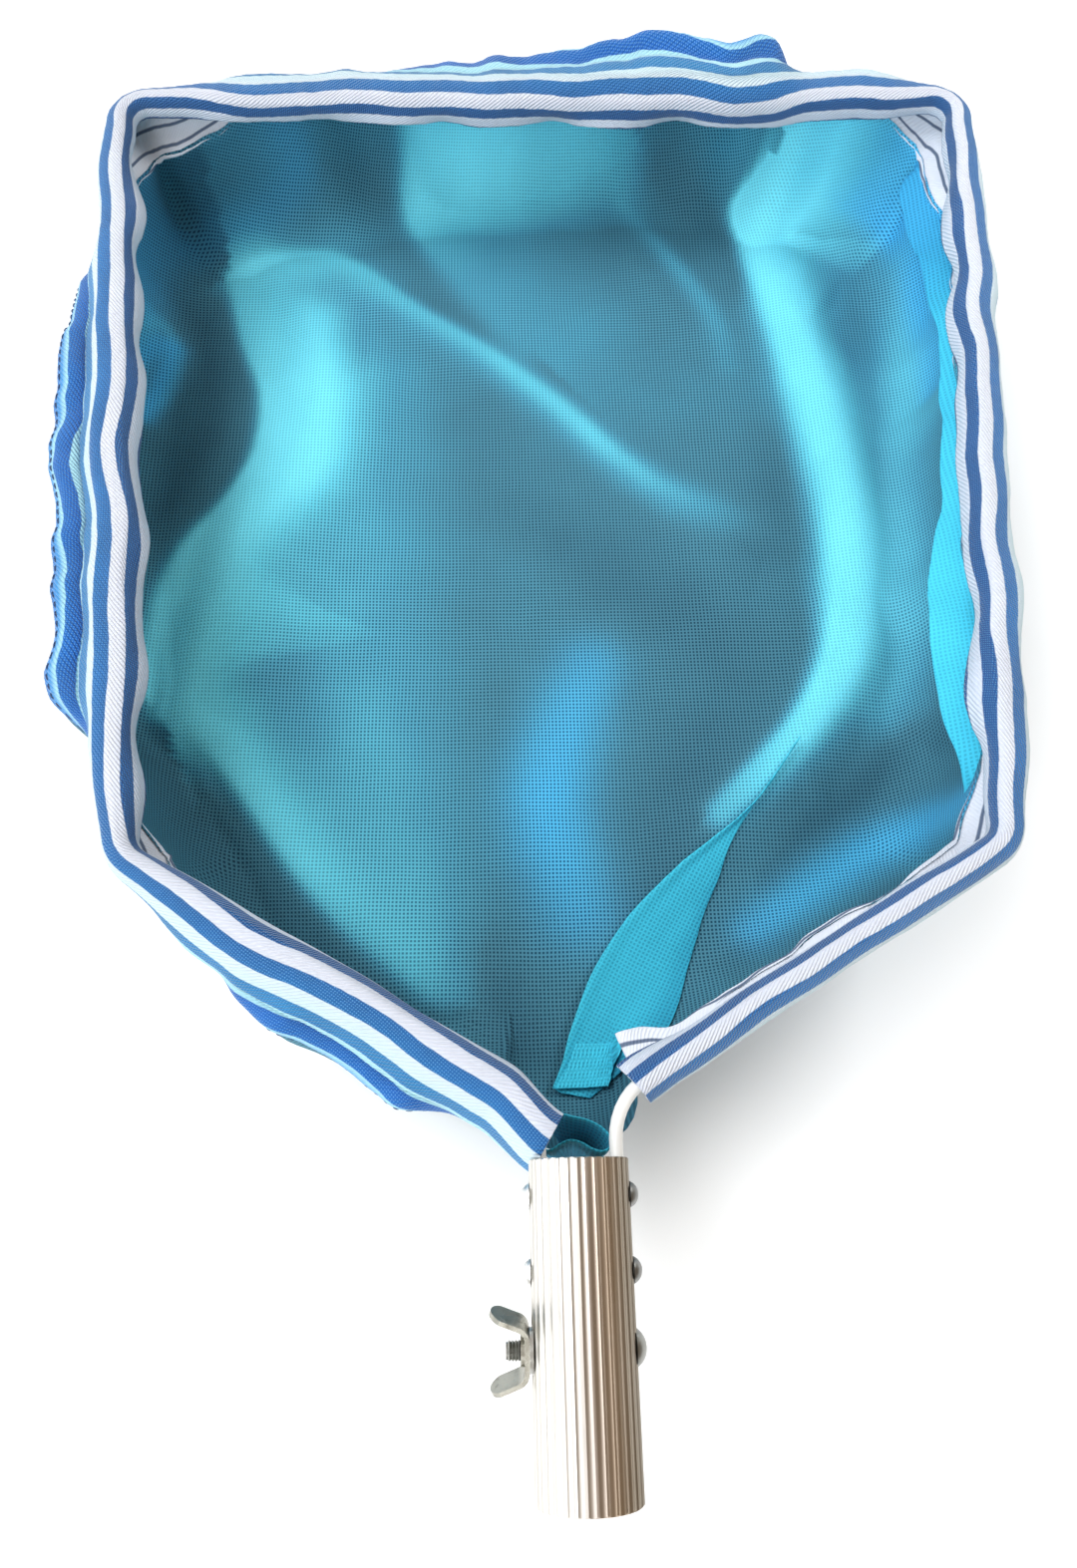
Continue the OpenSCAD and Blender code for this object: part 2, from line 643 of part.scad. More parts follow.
handle_tube();
frame_wire();
frame_rivets();
clamp_bolt();
bolt_washer();
wing_nut();
striped_tape();
mesh_bag();
neck_hem();
seam_thread();
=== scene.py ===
"""Leaf skimmer net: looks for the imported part, in metres in the row frame."""

import math

import bpy
import numpy as np
from mathutils import Euler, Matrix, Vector
from mathutils.bvhtree import BVHTree


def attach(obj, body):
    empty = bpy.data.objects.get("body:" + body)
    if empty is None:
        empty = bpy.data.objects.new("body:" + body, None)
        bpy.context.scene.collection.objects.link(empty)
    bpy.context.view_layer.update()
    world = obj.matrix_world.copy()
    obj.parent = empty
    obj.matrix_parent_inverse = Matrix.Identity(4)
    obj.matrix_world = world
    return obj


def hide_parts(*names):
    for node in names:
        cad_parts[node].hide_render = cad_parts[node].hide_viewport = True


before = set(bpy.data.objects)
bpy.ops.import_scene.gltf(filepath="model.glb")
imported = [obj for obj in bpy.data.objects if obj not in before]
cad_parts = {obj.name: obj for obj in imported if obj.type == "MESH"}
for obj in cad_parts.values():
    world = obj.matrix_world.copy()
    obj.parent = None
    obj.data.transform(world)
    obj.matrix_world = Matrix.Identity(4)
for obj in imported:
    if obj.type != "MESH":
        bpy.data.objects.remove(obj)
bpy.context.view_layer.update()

MM = 0.001
TURN = 2 * math.pi

# -------- the wire's route, in mm
# The sizes down to TAPE_T are those of part.scad
TUBE_L, NECK_RISE, NECK_R = 95.0, 18.0, 22.0
SHOULDER_W, SHOULDER_REACH, SHOULDER_R = 316.0, 105.0, 13.0
FRONT_W, FRONT_REACH, FRONT_R = 400.0, 480.0, 13.0
TUBE_D, LEG_X, ROOT_Y = 32.0, 12.4, 88.0
SEAM_DROP, BAG_DEPTH = 24.0, 77.0
TAPE_T = 0.9
BEND_STEPS = 16
CORNERS = np.array([
    [LEG_X, ROOT_Y],
    [LEG_X, TUBE_L + NECK_RISE],
    [SHOULDER_W / 2, TUBE_L + SHOULDER_REACH],
    [FRONT_W / 2, TUBE_L + FRONT_REACH],
    [0.0, TUBE_L + FRONT_REACH],
])
BEND_RADII = [0.0, NECK_R, SHOULDER_R, FRONT_R, 0.0]


def half_route():
    """Samples of the right half of the wire's centre: distance, x, y and heading."""
    steps = np.diff(CORNERS, axis=0)
    heads = np.arctan2(steps[:, 1], steps[:, 0])
    trims = [0.0] + [
        BEND_RADII[i] * math.tan(abs(heads[i] - heads[i - 1]) / 2) for i in range(1, len(heads))
    ] + [0.0]
    rows, s = [], 0.0
    for i, head in enumerate(heads):
        run = np.linalg.norm(steps[i]) - trims[i] - trims[i + 1]
        unit = np.array([math.cos(head), math.sin(head)])
        start = CORNERS[i] + trims[i] * unit
        for t in (0.0, run):
            rows.append([s + t, *(start + t * unit), head])
        s += run
        if i + 1 < len(heads):
            turn, r = heads[i + 1] - head, BEND_RADII[i + 1]
            side = math.copysign(1.0, turn)
            end = start + run * unit
            centre = end + side * r * np.array([-unit[1], unit[0]])
            for k in range(1, BEND_STEPS):
                a = head + turn * k / BEND_STEPS
                p = centre - side * r * np.array([-math.sin(a), math.cos(a)])
                rows.append([s + abs(turn) * r * k / BEND_STEPS, *p, a])
            s += abs(turn) * r
    return np.array(rows), s


HALF, HALF_L = half_route()


def whole_route():
    """Both halves: distance, x, y and the outward direction's x and y."""
    heading = HALF[:, 3]
    right = np.column_stack([HALF[:, :3], np.sin(heading), -np.cos(heading)])
    left = right[::-1] * [1, -1, 1, -1, 1]
    left[:, 0] = 2 * HALF_L - right[::-1, 0]
    return np.vstack([right, left])


ROUTE = whole_route()


def route(s):
    """Points on the wire's centre and outward directions at distances s."""
    cols = [np.interp(s, ROUTE[:, 0], ROUTE[:, k]) for k in range(1, 5)]
    return np.stack(cols[:2], -1), unit(np.stack(cols[2:], -1))


# Where the wire's last bend starts, which mirrors the sample at which the half route's first bend ends
LEFT_BEND = 2 * HALF_L - HALF[BEND_STEPS + 1, 0]


def place(s, out, z, straight=False):
    """Points at distances s, out outwards from the wire and z above it.

    The tape's left end doesn't follow the wire's last bend: with straight it runs on in line."""
    p, n = route(np.minimum(s, LEFT_BEND) if straight else s)
    if straight:
        along = np.stack([-n[..., 1], n[..., 0]], -1)
        p = p + np.clip(s - LEFT_BEND, 0, None)[..., None] * along
    return np.concatenate([p + out[..., None] * n, z[..., None]], -1)


def wobble(s, seed, wavelengths, amplitudes):
    """A smooth, repeatable waver along s."""
    rng = np.random.default_rng(seed)
    total = np.zeros_like(s, dtype=float)
    for length, size in zip(wavelengths, amplitudes):
        total += size * np.sin(TURN * s / (length * rng.uniform(0.92, 1.08)) + rng.uniform(0, 6.28))
    return total


def smooth(x):
    """Rises smoothly from 0 to 1 as x does."""
    x = np.clip(x, 0.0, 1.0)
    return x * x * (3 - 2 * x)


def unit(vectors):
    return vectors / np.linalg.norm(vectors, axis=-1, keepdims=True)


# -------- meshes
def add_object(name, data):
    obj = bpy.data.objects.new(name, data)
    bpy.context.scene.collection.objects.link(obj)
    return obj


def new_mesh(name, verts, faces, uvs=None, values=None):
    """A mesh object from points in mm, with UVs per vertex and named float values per vertex."""
    mesh = bpy.data.meshes.new(name)
    points = [tuple(v) for v in np.asarray(verts) * MM]
    mesh.from_pydata(points, [], [tuple(int(i) for i in f) for f in faces])
    if uvs is not None:
        layer = mesh.uv_layers.new(name="cloth")
        loops = np.zeros(len(mesh.loops), np.int32)
        mesh.loops.foreach_get("vertex_index", loops)
        layer.data.foreach_set("uv", np.asarray(uvs, np.float32)[loops].ravel())
    for key, value in (values or {}).items():
        layer = mesh.attributes.new(key, "FLOAT", "POINT")
        layer.data.foreach_set("value", np.asarray(value, np.float32))
    mesh.polygons.foreach_set("use_smooth", [True] * len(mesh.polygons))
    mesh.update()
    return add_object(name, mesh)


def grid_faces(rows, cols, close_cols=False, first=0):
    """Quads of a grid of points numbered row by row."""
    r, c = np.meshgrid(np.arange(rows - 1), np.arange(cols if close_cols else cols - 1), indexing="ij")
    a = first + r * cols + c
    b = first + r * cols + (c + 1) % cols
    return np.stack([a, b, b + cols, a + cols], -1).reshape(-1, 4)


def catmull(values, at):
    """Catmull-Rom through values (..., n, k) at index positions at."""
    n = values.shape[-2]
    i = np.clip(np.floor(at).astype(int), 0, n - 2)
    t = (at - i)[:, None]
    p0, p1, p2, p3 = (values[..., np.clip(i + d, 0, n - 1), :] for d in (-1, 0, 1, 2))
    return 0.5 * (
        2 * p1 + (p2 - p0) * t + (2 * p0 - 5 * p1 + 4 * p2 - p3) * t**2 + (3 * p1 - p0 - 3 * p2 + p3) * t**3
    )


# -------- the tape's cross-sections
# Each gives the cloth's middle as (out, z) at these distances across the cloth from its inner edge
ACROSS = np.array([0, 3, 6, 12, 15, 18, 24, 30, 36, 39, 42, 48, 54], float)
TAPE_W = ACROSS[-1]
STRIPE = 6.0
SECTIONS = {
    "right_end": [(-9, 0.5), (-7.5, 1.5), (-5.8, 2.6), (-2.4, 3.8), (0, 4.2), (2.4, 3.6), (5.8, 0),
                  (6.5, -5.5), (3.5, -10.5), (0.5, -12.3), (-2.8, -13.5), (-11, -15), (-19, -15.5)],
    "right_leg": [(-6.2, -4.5), (-6.2, -2.5), (-5.4, 0), (-2.6, 3.3), (-0.2, 4), (2.2, 3.6), (5.6, 0.2),
                  (6.2, -5.4), (5, -11), (3.5, -13.5), (1, -15.8), (-4.5, -18.5), (-10, -20.5)],
    "right": [(-6.6, -7.5), (-6.3, -4), (-5.5, -0.4), (-2.3, 3.3), (0.4, 4.1), (3.2, 3.7), (8.2, 2),
              (10.9, -1.5), (10.2, -7), (9.4, -10), (8.4, -13), (5.6, -19), (3, -24)],
    "corner": [(-4.9, -5), (-5.1, -3.3), (-4.9, -1.5), (-3.4, 2.2), (-1.2, 3.7), (1, 3.8), (5, 1.6),
               (6.6, -3), (6, -8.5), (5, -11.5), (3.4, -14.5), (-3.5, -20), (-11, -24)],
    "front": [(-6.5, -9.9), (-6.4, -8.2), (-6.3, -6.6), (-5.8, -2.5), (-4.9, 0.6), (-3, 2.8), (2.5, 7.4),
              (5.5, 9.1), (11.5, 9.8), (13.8, 8.5), (16, 8.6), (23, 13), (28, 7)],
    "front_mid": [(-6.5, -8.5), (-6.4, -6.5), (-6.2, -4.5), (-5.2, -0.8), (-3.8, 1.6), (-1.4, 3.6),
                  (4.2, 5.6), (8.5, 5.2), (12.5, 3.5), (14.5, 2.5), (17, 3.2), (22, 2), (25, -5)],
    "front_left": [(-6, -7), (-5.9, -5), (-5.6, -3), (-4.2, 1), (-2.2, 3), (0, 4.2), (5.5, 5.2),
                   (10.5, 5), (14.8, 2), (16, -0.5), (16.6, -3.5), (15.5, -9.5), (11, -15)],
    "left_top": [(-6.5, -6), (-6.2, -3), (-5.3, 0), (-2.3, 3.4), (0.4, 4.1), (3.2, 3.8), (8, 2),
                 (10.2, -2), (11, -7), (11, -9.5), (11, -12), (9.5, -17), (6, -22)],
    "left": [(-7.5, -6), (-6.9, -3.2), (-5.6, -0.3), (-2.6, 3.2), (0.4, 4), (3.2, 3.9), (9, 3),
             (12.4, -2), (16.7, -6.5), (17.2, -8.3), (18, -5.9), (24.5, -4.5), (29.3, -8)],
    "left_leg": [(-6.2, -6), (-6, -3.5), (-5.3, -0.4), (-2.3, 3.3), (0.4, 4), (3.2, 3.7), (8.6, 2.4),
                 (12.5, -1), (15, -5.5), (15.6, -8), (16, -10.5), (15, -16), (11, -21)],
    "left_bulge": [(-6.2, -6), (-6, -3.5), (-5.3, -0.4), (-2.3, 3.3), (0.4, 4), (3.2, 3.7), (8.8, 2.8),
                   (13, -0.5), (16.5, -4), (17.2, -5.5), (18.2, -4.6), (23, -6.5), (22, -12.5)],
    "left_end": [(-5.8, -3.5), (-5.3, -1.6), (-4.4, 0.6), (-1.6, 3.4), (1, 4), (3.6, 3.9), (9, 3),
                 (13, -0.5), (15.5, -5), (16, -7.5), (16, -10.5), (15, -16), (12, -22)],
    "left_cut": [(-0.2, -3), (-0.3, -0.6), (0.3, 1.6), (3.2, 4), (5.6, 4.8), (8, 5), (13.6, 4.2),
                 (17.8, 1), (19.6, -4.2), (19.8, -7), (19.6, -10), (18, -15.5), (15, -21)],
}
# Where along the wire each section holds
KEYS = [
    (31, "right_end"), (62, "right_leg"), (150, "right_leg"), (192, "corner"), (240, "right"), (480, "right"),
    (565, "corner"), (606, "front_left"), (632, "front_left"), (652, "front"), (712, "front"),
    (800, "front_mid"), (885, "front_left"), (958, "corner"), (1010, "left_top"), (1095, "left"),
    (1250, "left"), (1300, "left_top"), (1331, "corner"), (1375, "left_leg"), (1410, "left_bulge"),
    (1455, "left_bulge"), (1486, "left_end"), (1510, "left_cut"),
]
TAPE_START, TAPE_END, TAPE_STEP, TAPE_COLS = 31.0, 1509.5, 2.4, 55
# The wire's four sharp bends, beyond the neck
CORNERS_AT = [192, 565, 958, 1331]
SEAM_START, SEAM_END = 35.2, 2 * HALF_L - 35.2


def section_at(s):
    """Blended sections at distances s: (len(s), control points, 2)."""
    at = np.array([k[0] for k in KEYS], float)
    table = np.array([SECTIONS[k[1]] for k in KEYS], float)
    i = np.clip(np.searchsorted(at, s, "right") - 1, 0, len(at) - 2)
    t = smooth((s - at[i]) / (at[i + 1] - at[i]))[:, None, None]
    return table[i] * (1 - t) + table[i + 1] * t


def tape_surface(s, u):
    """(out, z) of the cloth's middle at every s and u, with its waves."""
    control = section_at(s)
    points = catmull(control, np.interp(u, ACROSS, np.arange(len(ACROSS))))
    share = u / TAPE_W
    inner = np.clip(1 - share / 0.2, 0, 1) ** 1.2
    outer = np.clip((share - 0.4) / 0.6, 0, 1)
    calm = smooth((s - TAPE_START) / 60) * smooth((TAPE_END - s) / 60)
    # the legs lie straighter than the long sides
    free = 0.35 + 0.65 * smooth((s - 180) / 60) * smooth((1345 - s) / 60)
    edge = wobble(s, 3, (31, 46, 63, 97), (0.25, 0.8, 1.1, 0.9)) * calm * free
    lie = wobble(s, 5, (38, 58, 83, 140), (0.3, 0.45, 0.6, 0.4)) * calm * free
    swell = wobble(s, 7, (33, 48, 71, 120), (0.5, 0.9, 1.3, 1.2)) * calm * (0.4 + 0.6 * free)
    lift = wobble(s, 11, (27, 40, 67, 105), (0.4, 0.6, 0.9, 0.8)) * calm
    pucker = wobble(s, 13, (11, 17, 26), (0.1, 0.22, 0.3))
    # round the wire's tight corners the cloth is pulled straight
    slack = 1 - 0.9 * np.max([np.exp(-(((s - at) / 24) ** 2)) for at in CORNERS_AT], axis=0)
    edge, lie, swell, lift, pucker = edge * slack, lie * slack, swell * slack, lift * slack, pucker * slack
    # threads of the twill pull small wales across the cloth
    drift = 0.4 * wobble(s, 19, (53,), (1,))
    wale = 0.12 * np.sin(TURN * (s[:, None] / 7.5 + u[None, :] / 19 + drift[:, None]))
    points[..., 0] += edge[:, None] * inner + lie[:, None] + (swell + pucker)[:, None] * outer
    points[..., 1] += np.abs(edge)[:, None] * 0.5 * inner + (lift + pucker)[:, None] * outer + wale
    return points


def seam_point(s):
    """(out, z) of the tape's outer edge."""
    return tape_surface(s, np.array([TAPE_W]))[:, 0]


def build_tape():
    """The tape's middle surface; its UVs are the distances across and along the cloth."""
    s = np.append(np.arange(TAPE_START, TAPE_END, TAPE_STEP), TAPE_END)
    u = np.linspace(0, TAPE_W, TAPE_COLS)
    pts = tape_surface(s, u)
    # the cut at the right end slants: the seam's side starts a little later
    slant = np.exp(-(s - TAPE_START) / 14.0)[:, None] * np.clip((u - 24) / 30, 0, 1) * 6.0
    flat_s = (s[:, None] + slant).ravel()
    verts = place(flat_s, pts[..., 0].ravel(), pts[..., 1].ravel(), straight=True)
    uvs = np.stack([np.tile(u, len(s)), np.repeat(s, len(u))], -1)
    shift = np.repeat(wobble(s, 17, (37, 75, 118, 190), (0.35, 0.8, 0.9, 0.7)), len(u))
    return new_mesh("striped_band", verts, grid_faces(len(s), len(u)), uvs, {"stripe_shift": shift})


# -------- the bag
MIDDLE = np.array([0.0, TUBE_L + (SHOULDER_REACH + FRONT_REACH) / 2 - 20.0])
NECK_GAP, SEAM_OUT, END_OUT = 3.5, 3.0, -2.5
# The bag's own edge is sewn to the tape's inner face, TUCK above the tape's edge
TUCK, SEWN_GAP = 2.0, 1.2
BAG_BULGE, BULGE_SHARE, FLOOR_INSET = 5.0, 0.1, 0.13
RIM_STEP, NECK_POINTS, WALL_RINGS, FLOOR_RINGS = 3.6, 14, 26, 92
# The main folds of the floor, as in part.scad: share of the way round from the right leg, then the crest's
# share of the way from the middle to the floor's edge, and its share of the full height
RIDGE_H, RIDGE_W = 5.5, 0.15
CREST_AT = [(0, 0.9), (0.03, 0.87), (0.06, 0.81), (0.12, 0.78), (0.17, 0.85), (0.22, 0.92), (0.3, 0.86),
            (0.36, 0.81), (0.4, 0.9), (0.6, 0.75), (0.65, 0.65), (0.7, 0.68), (0.76, 0.79), (0.81, 0.93),
            (0.88, 0.95), (0.92, 0.93), (0.97, 0.9), (1, 0.9)]
CREST_H = [(0, 0), (0.03, 0), (0.07, 0.8), (0.12, 0.9), (0.17, 1), (0.25, 1), (0.33, 0.9), (0.39, 0.8),
           (0.43, 0), (0.6, 0), (0.63, 0.6), (0.68, 0.8), (0.76, 1), (0.82, 0.9), (0.9, 0.8), (0.95, 0.4),
           (0.97, 0), (1, 0)]
# How the cloth lies as seen from above, in strokes of points (x, y, strength, width to the left and to the
# right of the direction of travel). The strokes are painted light and shade: the net is painted lighter where
# it lies doubled, on creases and where light falls on it, darker where it lies single and in shade, and some
# of it bluer. Each lit stroke also has the height of its own small fold, in mm.
LIT = [
    (1.5, [(-163, 544, 0.62, 53, 3), (-153, 500, 0.7, 53, 3), (-141, 468, 0.8, 47, 4),
           (-141, 431, 0.85, 41, 4), (-153, 402, 0.88, 44, 4), (-172, 375, 0.95, 58, 4),
           (-181, 343, 0.95, 62, 3), (-180, 310, 0.95, 50, 3), (-174, 289, 0.85, 32, 3)]),
    (1.5, [(-116, 509, 0.3, 14, 16), (-109, 449, 0.55, 14, 16), (-116, 414, 0.55, 14, 15),
           (-141, 388, 0.5, 14, 14), (-162, 364, 0.5, 14, 14), (-175, 329, 0.55, 13, 12),
           (-174, 297, 0.5, 12, 8)]),
    (3.0, [(-163, 544, 0.45, 3, 14), (-144, 554, 0.55, 3, 16), (-113, 555, 0.55, 3, 16),
           (-91, 543, 0.5, 4, 14), (-64, 516, 0.45, 5, 12), (-28, 489, 0.5, 6, 11), (7, 457, 0.55, 7, 11),
           (35, 426, 0.5, 7, 11), (63, 402, 0.35, 9, 12), (100, 385, 0.15, 11, 14)]),
    (1.5, [(-175, 290, 0.8, 24, 3), (-152, 272, 0.75, 25, 3), (-133, 248, 0.75, 24, 3),
           (-116, 223, 0.72, 24, 3), (-101, 204, 0.6, 24, 4), (-84, 186, 0.45, 23, 4),
           (-59, 165, 0.3, 18, 4), (-49, 160, 0.2, 15, 4)]),
    (0.0, [(-88, 455, 0.2, 40, 24), (-86, 385, 0.24, 40, 41), (-93, 320, 0.34, 49, 37),
           (-82, 262, 0.34, 33, 37), (-64, 211, 0.34, 25, 37), (-57, 173, 0.3, 20, 24)]),
    (2.0, [(25, 316, 0.12, 12, 16), (6, 284, 0.22, 16, 18), (-4, 246, 0.24, 16, 17), (4, 215, 0.22, 16, 17),
           (15, 184, 0.15, 15, 15)]),
    (1.0, [(-63, 600, 0.4, 61, 5), (-71, 590, 0.47, 61, 5), (-65, 571, 0.45, 61, 6), (-41, 536, 0.3, 57, 8),
           (-8, 495, 0.22, 49, 12)]),
    (3.0, [(45, 588, 0.1, 5, 6), (61, 566, 0.25, 5, 6), (78, 538, 0.3, 5, 7), (91, 507, 0.22, 6, 7),
           (95, 481, 0.1, 7, 8)]),
    (1.0, [(117, 588, 0.7, 45, 4), (109, 585, 0.8, 51, 4), (108, 574, 0.84, 51, 4), (111, 541, 0.82, 46, 5),
           (119, 500, 0.75, 36, 12), (133, 459, 0.78, 26, 22), (136, 422, 0.8, 22, 15),
           (137, 387, 0.85, 20, 11), (135, 354, 0.9, 20, 11), (129, 322, 0.92, 20, 8),
           (119, 299, 0.92, 18, 6), (104, 277, 0.9, 15, 5), (84, 256, 0.85, 11, 4), (67, 239, 0.75, 9, 4)]),
    (1.5, [(125, 572, 0.3, 10, 10), (129, 531, 0.45, 10, 10), (137, 494, 0.5, 10, 10),
           (145, 452, 0.55, 10, 9), (148, 410, 0.6, 10, 9), (149, 370, 0.65, 10, 9),
           (146, 338, 0.65, 10, 8), (138, 312, 0.65, 9, 7), (125, 289, 0.6, 8, 7), (107, 270, 0.55, 7, 6),
           (88, 251, 0.5, 7, 5), (70, 235, 0.4, 6, 4)]),
    (0.0, [(191, 546, 0.35, 15, 16), (184, 469, 0.5, 16, 18), (172, 400, 0.35, 14, 18),
           (164, 325, 0.4, 15, 16), (147, 286, 0.3, 14, 14)]),
    (0.0, [(-30, 600, 0.16, 22, 22), (20, 600, 0.2, 24, 24), (48, 598, 0.15, 15, 15)]),
    (1.5, [(157, 225, 0.2, 10, 11), (148, 223, 0.35, 10, 11), (131, 218, 0.38, 10, 11),
           (108, 204, 0.3, 10, 11), (81, 186, 0.15, 9, 11)]),
    (1.5, [(-202, 478, 0.2, 3, 4), (-195, 500, 0.3, 3, 4), (-188, 495, 0.3, 3, 4), (-187, 479, 0.25, 3, 4),
           (-193, 461, 0.3, 3, 4), (-201, 450, 0.25, 3, 4)]),
]
# Strokes of painted shade, which make the net darker
DIM = [
    [(-195, 544, 0.75, 16, 14), (-163, 576, 0.7, 18, 19), (-125, 582, 0.65, 18, 21), (-89, 592, 0.5, 18, 20),
     (-70, 601, 0.3, 16, 8)],
    [(-201, 524, 0.6, 12, 16), (-192, 525, 0.55, 14, 14), (-174, 500, 0.6, 14, 11), (-165, 456, 0.6, 12, 14),
     (-176, 414, 0.5, 8, 14), (-193, 383, 0.5, 6, 12)],
    [(-173, 262, 0.5, 6, 16), (-150, 232, 0.6, 14, 20), (-125, 203, 0.6, 12, 20), (-91, 174, 0.6, 11, 16),
     (-58, 149, 0.5, 8, 12)],
    [(-29, 177, 0.35, 11, 8), (-24, 160, 0.5, 14, 11), (-19, 140, 0.6, 15, 16)],
    [(9, 372, 0.3, 24, 16), (41, 350, 0.45, 29, 24), (71, 318, 0.5, 29, 29), (82, 288, 0.5, 24, 33),
     (52, 241, 0.5, 24, 24), (36, 197, 0.4, 16, 12)],
    [(64, 601, 0.5, 20, 12), (74, 594, 0.45, 20, 15), (102, 559, 0.3, 6, 8), (112, 484, 0.35, 7, 12),
     (113, 416, 0.4, 9, 20), (104, 376, 0.4, 14, 24)],
    [(168, 262, 0.4, 6, 8), (159, 271, 0.4, 8, 8), (133, 248, 0.5, 8, 7), (107, 230, 0.5, 7, 7),
     (88, 211, 0.4, 7, 5)],
    [(72, 174, 0.35, 8, 12), (102, 179, 0.3, 6, 12), (138, 197, 0.3, 4, 12)],
]
BLUE = [
    [(16, 309, 0.4, 16, 16), (-4, 246, 0.72, 19, 19), (7, 197, 0.5, 18, 18)],
    [(160, 578, 0.3, 8, 4), (176, 569, 0.8, 12, 7), (190, 548, 0.9, 12, 7), (193, 495, 0.8, 11, 6),
     (191, 448, 0.5, 8, 5)],
    [(157, 225, 0.6, 11, 11), (131, 218, 0.7, 11, 11), (81, 186, 0.5, 10, 11)],
    [(-202, 478, 0.8, 6, 6), (-188, 491, 0.8, 6, 6), (-199, 451, 0.8, 6, 6)],
    [(-204, 497, 0.6, 8, 10), (-195, 545, 0.3, 8, 12), (-121, 587, 0.3, 7, 7)],
]
BASE_TONE = 0.25
LEAST_WIDTH = 5.0
# The folds' full height, where it is more than the main folds of the solid have: the width to the left and to
# the right of the direction of travel, the height in mm, and the points (x, y, strength)
FOLDS = [
    (11, 26, 5.0, [(-110, 541, 0.55), (-84, 526, 0.7), (-53, 506, 0.62), (-23, 480, 0.55), (6, 455, 0.45),
                   (44, 424, 0.35), (80, 387, 0.2)]),
    (34, 12, 6.5, [(-140, 545, 0.35), (-122, 520, 0.55), (-113, 488, 0.7), (-113, 456, 0.85),
                   (-127, 415, 0.95), (-143, 368, 0.95), (-155, 329, 0.9), (-158, 300, 0.85),
                   (-157, 281, 0.75)]),
    (26, 8, 6.0, [(-160, 281, 0.8), (-143, 262, 0.75), (-125, 235, 0.72), (-103, 209, 0.7), (-77, 181, 0.6),
                  (-49, 158, 0.4)]),
    (30, 24, 3.0, [(-70, 574, 0.75), (-45, 560, 0.7), (-27, 539, 0.5), (-2, 506, 0.3)]),
    (18, 18, 2.0, [(-10, 574, 0.7), (20, 572, 0.7), (45, 574, 0.5)]),
    (9, 12, 3.0, [(48, 560, 0.2), (55, 546, 0.35), (76, 518, 0.5), (89, 492, 0.45), (100, 470, 0.15)]),
    (15, 17, 7.0, [(168, 566, 0.6), (150, 572, 0.75), (125, 572, 0.8), (121, 545, 0.7), (128, 524, 0.75),
                   (137, 485, 0.85), (143, 451, 0.95), (146, 400, 1.0), (145, 354, 1.0), (141, 325, 1.0),
                   (134, 305, 1.0), (112, 272, 0.95), (92, 250, 0.8)]),
    (12, 12, 2.0, [(151, 214, 0.3), (120, 206, 0.42), (81, 182, 0.25)]),
    (20, 18, 2.0, [(-5, 300, 0.1), (-5, 262, 0.4), (-5, 238, 0.5), (-1, 205, 0.35)]),
    (50, 50, 1.5, [(-112, 430, 0.3), (-70, 400, 0.3), (-60, 340, 0.3), (-80, 300, 0.25)]),
    (40, 40, 1.5, [(-60, 450, 0.25), (-20, 420, 0.2)]),
]
# The doubled fold that runs from the neck: its free edge and its far edge
FLAP_EDGE = [(107, 270), (91, 249), (78, 236), (59, 221), (50, 214), (35, 200), (24, 188), (15, 175),
             (10, 166), (5, 154), (1, 143), (-2, 132), (-6, 122)]
FLAP_FAR = [(9, 119), (21, 128), (33, 137), (41, 145), (47, 157), (51, 169), (56, 183), (60, 194), (67, 209),
            (71, 220), (78, 233), (92, 249)]


def line_field(xy, points):
    """How strongly a stroke reaches each point."""
    points = np.array(points, float)
    points = catmull(points, np.linspace(0, len(points) - 1, 3 * len(points) - 2))
    points[:, 3:] = np.maximum(points[:, 3:], LEAST_WIDTH)
    best = np.full(len(xy), np.inf)
    power, width = np.zeros(len(xy)), np.ones(len(xy))
    for a, b in zip(points[:-1], points[1:]):
        run = b[:2] - a[:2]
        t = np.clip(((xy - a[:2]) @ run) / (run @ run), 0, 1)
        off = xy - (a[:2] + t[:, None] * run)
        distance = np.hypot(off[:, 0], off[:, 1])
        near = distance < best
        best = np.where(near, distance, best)
        # strength and the two widths at the nearest place of this piece of the stroke
        strength, left, right = a[2:, None] + t * (b - a)[2:, None]
        side = np.where(run[0] * off[:, 1] - run[1] * off[:, 0] > 0, left, right)
        power = np.where(near, strength, power)
        width = np.where(near, side, width)
    return power * np.exp(-((best / width) ** 2))


def ridge(t, share):
    """Height of the main folds at shares t of the way round and shares of the way out."""
    crest = np.interp(t, *zip(*CREST_AT))
    tall = np.interp(t, *zip(*CREST_H))
    return RIDGE_H * tall * np.clip(1 - ((share - crest) / RIDGE_W) ** 2, 0, None) ** 2


